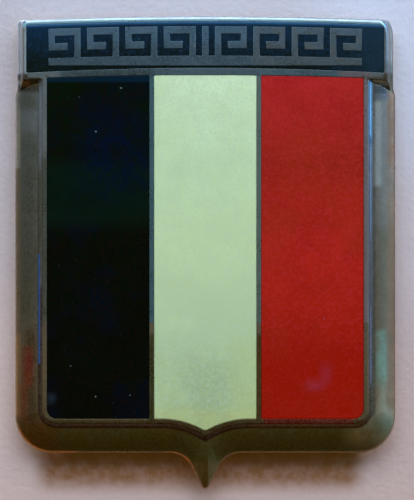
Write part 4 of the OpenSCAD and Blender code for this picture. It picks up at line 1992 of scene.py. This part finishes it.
def nickel_tarnish_and_painted_light() -> StruckMetal:
    """The worn and stained metal of the shield, with painted highlights, reflections and shade laid into its
    colour. Its patches are given by the heights of its parts.
    """
    left_divider, right_divider = (-9.6, -8.5), (8.5, 9.6)
    flat, slope, slope_foot, lip = (3.9, 5), (1.5, 3.4), (1.5, 3.5), (0.5, 1.9)
    wall, wall_edge = (3.42, 4.1), (3.42, 4.15)
    block, block_foot, block_side, block_rim = (1, 5), (1.5, 5), (2, 5), (3.2, 5)
    # Painted light on the face: the blue of the header's raised metal and rail and of the upper dividers is a
    # painted reflection of a bright sky, the olive of the lower dividers a painted reflection of a dark warm room,
    # the pale right border a painted highlight and the darker left border painted shade.
    face = (
        Patch((96, 142, 176), height=flat, arched=(28.95, 37), x=(-30, 30), blur=0.3),
        Patch((80, 112, 130), 0.7, height=flat, arched=(28.95, 33), x=(-30, 30), blur=2.5),
        Patch((118, 128, 128), 0.6, height=flat, arched=(28.95, 37), x=(8, 30), blur=6, cloud=0.6),
        Patch((80, 126, 148), 0.9, height=flat, arched=(27.2, 28.9), x=(-24.5, 23.5), blur=1.2, cloud=0.2),
        Patch((60, 84, 88), 0.8, height=flat, arched=(27.2, 28.9), x=(-24.5, -9), blur=2.0, cloud=0.2),
        Patch((141, 133, 148), 0.8, height=flat, arched=(27.2, 28.9), x=(22.5, 27.8), blur=1.2),
        Patch((92, 104, 94), 0.85, height=flat, x=(-28.6, -25.7), z=(-14, 14), blur=3.0),
        Patch((86, 138, 158), 0.95, x=left_divider, z=(-14, 27.5), blur=0.3),
        Patch((72, 78, 26), 0.95, x=left_divider, z=(-31, -16), blur=1.0),
        Patch((128, 156, 156), 0.9, x=right_divider, z=(-14, 27.5), blur=0.3),
        Patch((104, 80, 14), 0.95, x=right_divider, z=(-31, -16), blur=1.0),
        Patch((172, 166, 180), 0.7, x=(26.8, 27.7), z=(-14, 27), height=flat, blur=0.3),
    )
    # Painted light on the right side: the bevel is painted lighter than the left as the side the light comes from,
    # with a painted highlight band by the step foot and painted shade just under the notch.
    right_side = (
        Patch((162, 156, 146), 0.8, x=(28.4, 33), z=(2, 27), height=slope_foot, blur=3.0, cloud=0.2),
        Patch((140, 134, 112), 0.8, x=(28.4, 33), z=(-26, 2), height=slope_foot, blur=3.0, cloud=0.2),
        Patch((204, 218, 218), 0.85, x=(28.3, 29.7), z=(9, 23.4), height=slope_foot, blur=1.0, cloud=0.2),
        Patch((118, 134, 150), 0.8, x=(28.5, 32), z=(23.6, 24.9), height=slope_foot, blur=0.8),
        Patch((78, 96, 106), 0.9, x=(28.5, 32), z=(24.7, 26.0), height=slope_foot, blur=0.5),
        Patch((160, 208, 186), 0.8, x=(28.8, 31.0), z=(-25, -15.5), height=slope_foot, blur=1.6, cloud=0.5),
        Patch((196, 194, 164), 0.75, x=(28.8, 32.4), z=(-30, -24), height=slope_foot, blur=2.4, cloud=0.6),
        Patch((168, 136, 106), 0.85, x=(30.7, 33), z=(-30, 12), height=(0.5, 3), blur=1.0, cloud=0.3),
        Patch((160, 116, 84), 0.95, x=(30.8, 33), z=(12, 27), height=(0.5, 3), blur=1.0, cloud=0.2),
    )
    # Painted light on the left side: the bevel is painted darker as the side away from the light, and the pale
    # upper lip is a painted reflection of the sheet beside it; lower down the lip is warm, worn brass.
    left_side = (
        Patch((92, 100, 82), 0.9, x=(-31.2, -28.2), z=(-14, 18), height=slope_foot, blur=5.0, cloud=0.3),
        Patch((206, 202, 184), 0.8, x=(-33, -31.3), z=(12, 27), height=(0.5, 2.3), blur=0.5, cloud=0.3),
        Patch((160, 142, 106), 0.8, x=(-33, -31.3), z=(-30, 12), height=(0.5, 2.3), blur=0.5, cloud=0.4),
        Patch((202, 160, 106), 0.8, x=(-33, -31.3), z=(-30, -16), height=(0.5, 2.3), blur=2.0, cloud=0.3),
    )
    # Below the field, the dark olive of the border, step wall and bevel is partly tarnish and partly painted shade,
    # a painted reflection of a dark warm room below, darkest on the step wall; the orange along the lip is wear
    # through to the brass.
    below = (
        Patch((88, 72, 20), 0.94, height=(3.95, 5), z=(-60, -30.4), blur=0.8, height_blur=0.2),
        Patch((134, 33, 0), 0.95, height=(3.95, 5), x=(9.8, 25), z=(-31.2, -29.7), blur=0.5),
        Patch((72, 46, 1), 0.98, height=(3.42, 4.0), z=(-60, -30.6), blur=1.2, height_blur=0.1),
        Patch((100, 70, 4), 0.9, height=(3.42, 4.0), x=(8, 28), z=(-60, -30.6), blur=2.0, height_blur=0.1),
        Patch((102, 110, 40), 0.9, height=(1.8, 3.4), z=(-60, -31.6), blur=2.5, cloud=0.2),
        Patch((182, 186, 160), 0.85, x=(24, 33), z=(-35, -29), height=slope, blur=4.0, cloud=0.4),
        Patch((104, 134, 104), 0.5, x=(28.6, 31.8), z=(-33, -30), height=slope, blur=1.6, cloud=0.3),
        Patch((126, 88, 20), 0.8, x=(-31.5, -25), z=(-36, -30), height=slope, blur=2.5, cloud=0.2),
        Patch((150, 112, 48), 0.8, height=(0.5, 1.8), z=(-60, -34), blur=2.0, cloud=0.3),
        Patch((214, 140, 52), 0.8, height=lip, x=(-32, -22), z=(-38, -31), blur=3.0, cloud=0.3),
        Patch((222, 142, 54), 0.7, height=lip, x=(-6.5, -1.5), z=(-41, -36), blur=1.5, cloud=0.3),
    )
    # Painted light on the step walls: the blue bands on the right wall are painted reflections of a window, the
    # dark line at its foot is painted shade in the crease, and both walls darken to brown lower down as painted
    # shade.
    step_wall = (
        Patch((64, 74, 78), 0.6, height=(3.3, 3.46), x=(27, 33), z=(-30, 26.5), height_blur=0.1, cloud=0.3),
        Patch((94, 98, 76), 0.9, x=(-30, -26.6), z=(-6, 12), height=wall, blur=3.0),
        Patch((56, 32, 2), 0.95, x=(-29, -26.6), z=(-31, -8), height=wall, blur=1.6, cloud=0.2),
        Patch((82, 84, 94), 0.95, x=(26.8, 29), z=(-25.5, -8), height=wall, blur=1.6, cloud=0.2),
        Patch((156, 172, 206), 0.5, x=(26.8, 29), z=(-25, -11), height=(3.58, 3.82), blur=2.4, height_blur=0.1),
        Patch((76, 70, 48), 0.95, x=(26, 29), z=(-30.6, -24.5), height=wall, blur=1.6, cloud=0.2),
        Patch((102, 102, 108), 0.85, x=(25.8, 30), z=(-10, 17), height=wall_edge, blur=2.4),
        Patch((150, 198, 255), 0.85, x=(26.4, 29.4), z=(1, 17.5), height=(3.6, 3.8), blur=7.0, height_blur=0.1),
        Patch((80, 112, 134), 0.92, x=(26.4, 29.4), z=(16, 26.8), height=wall_edge, blur=1.4),
        Patch((146, 212, 255), 0.95, x=(26.4, 29.4), z=(17.5, 26.8), height=(3.6, 3.86), blur=1.4, height_blur=0.1),
    )
    # Red-brown rust and a purple stain on the lower left bevel, a darker brown by the step and a paler point; the
    # thin blue line at the foot of the left step wall is a painted reflection of a window.
    left_stains_and_blue_reflection = (
        Patch((92, 70, 28), 0.75, x=(-30.4, -28.6), z=(-31, -15), height=(1.8, 3.5), blur=2.0),
        Patch((166, 74, 34), 0.85, x=(-30.9, -29.2), z=(-25, -18), height=slope, blur=1.5, cloud=0.3),
        Patch((160, 78, 26), 0.8, x=(-31.3, -30.1), z=(-30.5, -24), height=slope, blur=1.6, cloud=0.3),
        Patch((160, 52, 60), 0.5, x=(-30.3, -29.2), z=(-22.5, -19.5), height=slope, blur=1.4),
        Patch((150, 128, 84), 0.7, x=(-3, 3), z=(-50, -37.6), height=(0.5, 3.4), blur=1.0, cloud=0.3),
        Patch((70, 130, 220), 0.9, x=(-28.3, -27.9), z=(-21, -2.5), height=(3.4, 3.9), blur=0.25),
    )
    # Painted light in the notches under the header: the dark band just below the left notch is painted shade, and
    # the pale blue steps across the underside of the right notch are painted light that lifts its shade.
    notches = (
        Patch((112, 122, 116), 0.85, x=(-31.6, -28.2), z=(22, 25), height=slope, blur=2.0),
        Patch((72, 66, 54), 0.9, x=(-31.8, -28.0), z=(24.9, 26.2), height=slope_foot, blur=0.7),
        Patch((102, 100, 50), 0.95, x=(-31.6, -28.2), z=(25.9, 27.1), height=(2.6, 4.12), blur=0.4),
        Patch((190, 148, 74), 0.95, x=(-31.0, -29.6), z=(25.8, 26.75), height=(2.6, 4.0), blur=0.5, cloud=0.3),
        Patch((206, 232, 214), 0.97, x=(28.3, 31.3), z=(26.4, 27.0), height=(3.36, 4.12), blur=0.2,
              height_blur=0.08),
        Patch((184, 228, 250), 0.97, x=(29.4, 31.3), z=(25.96, 26.5), height=(2.98, 3.6), blur=0.15,
              height_blur=0.06),
        Patch((150, 168, 160), 0.97, x=(30.2, 31.3), z=(25.5, 26.05), height=(2.5, 3.1), blur=0.15,
              height_blur=0.06),
        Patch((110, 110, 88), 0.95, x=(30.85, 31.7), z=(25.0, 27.0), height=(2.1, 4.1), blur=0.15),
        Patch((98, 100, 90), 0.85, x=(27.2, 31), z=(26.8, 27.5), height=(4.0, 5), blur=0.5),
        Patch((104, 94, 70), 0.9, x=(31.2, 32.8), z=(24.8, 28), height=(0.6, 3.9), blur=0.6),
    )
    # Painted light on the header's edges: the near-white left outer side and the pale blue rims beside its enamel
    # are painted highlights and reflections, and the dark brown bands at its foot are painted shade under its
    # overhang.
    header_edges = (
        Patch((180, 150, 122), 0.6, x=(30.9, 33), z=(29, 37), height=(0.5, 3.6), blur=0.6, cloud=0.3),
        Patch((226, 234, 242), 0.9, x=(-33, -31.15), arched=(28.6, 38), height=block, blur=0.3),
        Patch((168, 174, 170), 0.9, x=(-31.15, -30.6), arched=(28.6, 38), height=block_side, blur=0.3),
        Patch((198, 228, 244), 0.9, x=(-30.6, -30), arched=(28.6, 38), height=block_rim, blur=0.2),
        Patch((150, 174, 192), 0.9, x=(30, 30.75), arched=(28.6, 38), height=block_rim, blur=0.2),
        Patch((164, 172, 170), 0.9, x=(30.75, 31.2), arched=(28.6, 38), height=block_side, blur=0.2),
        Patch((178, 172, 162), 0.9, x=(31.2, 33), arched=(28.6, 38), height=block, blur=0.2),
        Patch((116, 122, 116), 0.85, x=(30.4, 34), z=(27.4, 30), height=block, blur=1.4),
        Patch((84, 78, 58), 0.95, x=(30.0, 34), z=(26.8, 28.1), height=block_foot, blur=0.7),
        Patch((80, 70, 38), 0.9, x=(-33.6, -29.9), z=(26.9, 28.0), height=block_foot, blur=0.8, cloud=0.2),
        Patch((66, 54, 18), 0.9, x=(-33.6, -27.8), z=(26.7, 27.35), height=(4.0, 5), blur=0.3),
    )
    # The top rim is a painted highlight, pale blue-white along the rounded rim, with a painted reflection of the
    # sky as a bright blue band on the flat below it, dimmer towards the right end.
    top_rim = (
        Patch((177, 194, 206), 0.95, arched=(36.85, 39), height=(1.0, 5), blur=0.3, height_blur=0.4),
        Patch((166, 192, 202), 0.95, arched=(37.35, 37.58), height=block_rim, blur=0.12, height_blur=0.1),
        Patch((122, 142, 155), 0.95, arched=(37.2, 37.4), height=block_rim, blur=0.12, height_blur=0.1),
        Patch((136, 172, 202), 0.95, arched=(37.08, 37.24), height=(3.4, 5), blur=0.12, height_blur=0.1),
        Patch((168, 236, 255), 0.98, arched=(36.4, 37.12), height=flat, blur=0.1, height_blur=0.1),
        Patch((130, 148, 164), 0.4, x=(16, 36), arched=(37.0, 39), height=(1.0, 5), blur=4.0),
    )
    return StruckMetal(
        # Face colours from top to bottom, partly tarnish and partly a painted reflection of a bright cool sky above
        # and a dark warm room below.
        face=((132, 158, 174), (140, 156, 160), (130, 135, 124), (142, 127, 98),
              (110, 106, 50)),
        patches=(*face, *right_side, *left_side, *below, *step_wall, *left_stains_and_blue_reflection, *notches, *header_edges,
                 *top_rim))


def header_glass() -> Enamel:
    """The blue-black enamel of the header, whose blue top fading to near black below is a painted reflection of the
    sky.
    """
    return Enamel("header enamel", ((7, 42, 68), (3, 24, 32), (1, 13, 8)), 36.8, 28.3,
                  tint=(12, 38, 46), tint_share=0.3, drift=(3, 12, 12), bloom=(18, 50, 82),
                  bloom_share=0.5, speck=(96, 146, 196), speck_share=0.24,
                  patches=(Patch((26, 52, 68), 0.5, x=(25, 33), blur=8.0),
                           Patch((1, 14, 4), 0.7, z=(26, 31), x=(-34, 20), blur=3.0),
                           # The two blue bands along the top edge are a painted reflection of the sky.
                           Patch((50, 106, 160), 0.8, arched=(36.5, 38), blur=0.6),
                           Patch((96, 170, 232), 0.85, arched=(36.74, 38), blur=0.12)), gloss=0.2)


def black_glass() -> Enamel:
    """The black enamel of the left stripe."""
    return Enamel("black enamel", ((3, 19, 3), (4, 8, 1), (5, 5, 0)), 27.0, -30.0,
                  tint=(3, 18, 10), tint_share=0.3, drift=(2, 10, 26), bloom=(18, 10, 4),
                  bloom_share=0.6, speck=(130, 148, 152), speck_share=0.14,
                  patches=(Patch((6, 26, 17), 0.8, z=(2.4, 13), blur=3.6, cloud=0.3, grain=0.2),
                           Patch((1, 14, 38), 0.8, x=(-21, -9), z=(8, 21), blur=9.0, cloud=0.8),
                           Patch((6, 36, 56), 0.7, z=(26.6, 28), blur=0.6),
                           Patch((84, 104, 146), 0.6, x=(-25, -11), z=(-19, 3), blur=6.0, grain=2.1,
                                 dots=0.12),
                           Patch((52, 66, 78), 0.5, x=(-26.8, -25.4), z=(-27.6, -26.2), blur=1.4,
                                 cloud=0.5)), gloss=0.06)


def yellow_glass() -> Enamel:
    """The pale yellow enamel of the middle stripe, lighter at the top and darker below, partly its own tone and
    partly painted light falling from above.
    """
    return Enamel("yellow enamel", ((219, 253, 214), (200, 234, 188), (201, 230, 179),
                                    (180, 211, 166), (162, 183, 126)), 27.0, -30.0,
                  tint=(180, 202, 160), tint_share=0.4, drift=(200, 228, 178), bloom=(182, 216, 192),
                  bloom_share=0.35, speck=(120, 126, 100), speck_share=0.05,
                  patches=(Patch((142, 166, 144), 0.36, x=(-4, 5), z=(-34, -20), blur=7, cloud=0.8, grain=1.4),
                           Patch((186, 204, 136), 0.35, x=(4.5, 10), z=(-34, -17), blur=4, cloud=0.4),
                           Patch((184, 196, 124), 0.5, z=(-36, -28.8), blur=2.5, cloud=0.4)),
                  gloss=0.25)


def red_glass() -> Enamel:
    """The red enamel of the right stripe."""
    return Enamel("red enamel", ((186, 42, 44), (151, 40, 24), (187, 38, 28), (167, 29, 8),
                                 (156, 25, 5)), 27.0, -30.0,
                  tint=(144, 24, 18), tint_share=0.5, drift=(150, 42, 22), bloom=(188, 46, 50),
                  bloom_share=0.4, speck=(160, 84, 110), speck_share=0.04,
                  patches=(Patch((150, 18, 0), 0.75, z=(-36, -17), blur=9.0, cloud=0.4, grain=2.2),
                           Patch((150, 62, 88), 0.32, x=(17, 19.8), z=(-25.4, -23.8), blur=1.8, cloud=0.4),
                           Patch((150, 62, 88), 0.22, x=(19.4, 21.2), z=(-24.6, -21), blur=1.8, cloud=0.4)),
                  gloss=0.08)


def main() -> None:
    """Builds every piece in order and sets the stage."""
    logging.basicConfig(level=logging.INFO, format="%(message)s")
    turned_brass = FixingMetal("turned brass", (202, 172, 104), (150, 118, 62), (84, 62, 34))
    knurled_brass = FixingMetal("knurled brass", (212, 178, 104), (160, 124, 64), (84, 60, 32),
                                grain=(1.4, 1.4, 1.4))
    plated_strip = FixingMetal("plated strip", (196, 194, 188), (140, 138, 132), (120, 66, 30),
                               grain=(0.25, 3.0, 3.0))
    plated_steel = FixingMetal("plated steel", (206, 206, 202), (158, 156, 150), (128, 90, 54), 0.35)
    spring_steel = FixingMetal("spring steel", (128, 130, 136), (84, 84, 88), (90, 58, 36), 0.35)
    form = ShieldForm()
    thread = Thread()
    stud = Stud(Side.LEFT, thread)
    EnamelledFace(form, nickel_tarnish_and_painted_light(), StruckBack(), header_glass(),
                  (black_glass(), yellow_glass(), red_glass())).build()
    StudMount(turned_brass, SoftSolder(), stud).build()
    ClampSet(ClampStrap(), stud.axis_x, plated_strip, MattRubber(), plated_steel, spring_steel).build()
    NutPair(KnurledNut(stud.axis_x, thread), knurled_brass, stud.spacing).build()
    Studio(
        lamps=(
            Lamp("high soft lamp", (40, -400, 720), (0, 0, 0), (1100, 1100), 11.4, (0.96, 0.98, 1.0)),
            Lamp("cool side strip", (130, -22, 46), (27, -4, 22), (30, 60), 0.012, (0.3, 0.62, 1.0)),
            Lamp("rear lamp", (-150, 420, 260), (0, 0, 0), (260, 260), 4.5),
        ),
        sky=((92, 64, 24), (112, 86, 46), (122, 113, 98), (184, 198, 218),
             (230, 243, 255)),
        window=(190, 216, 240),
    ).set_up()


if __name__ == "__main__":
    main()
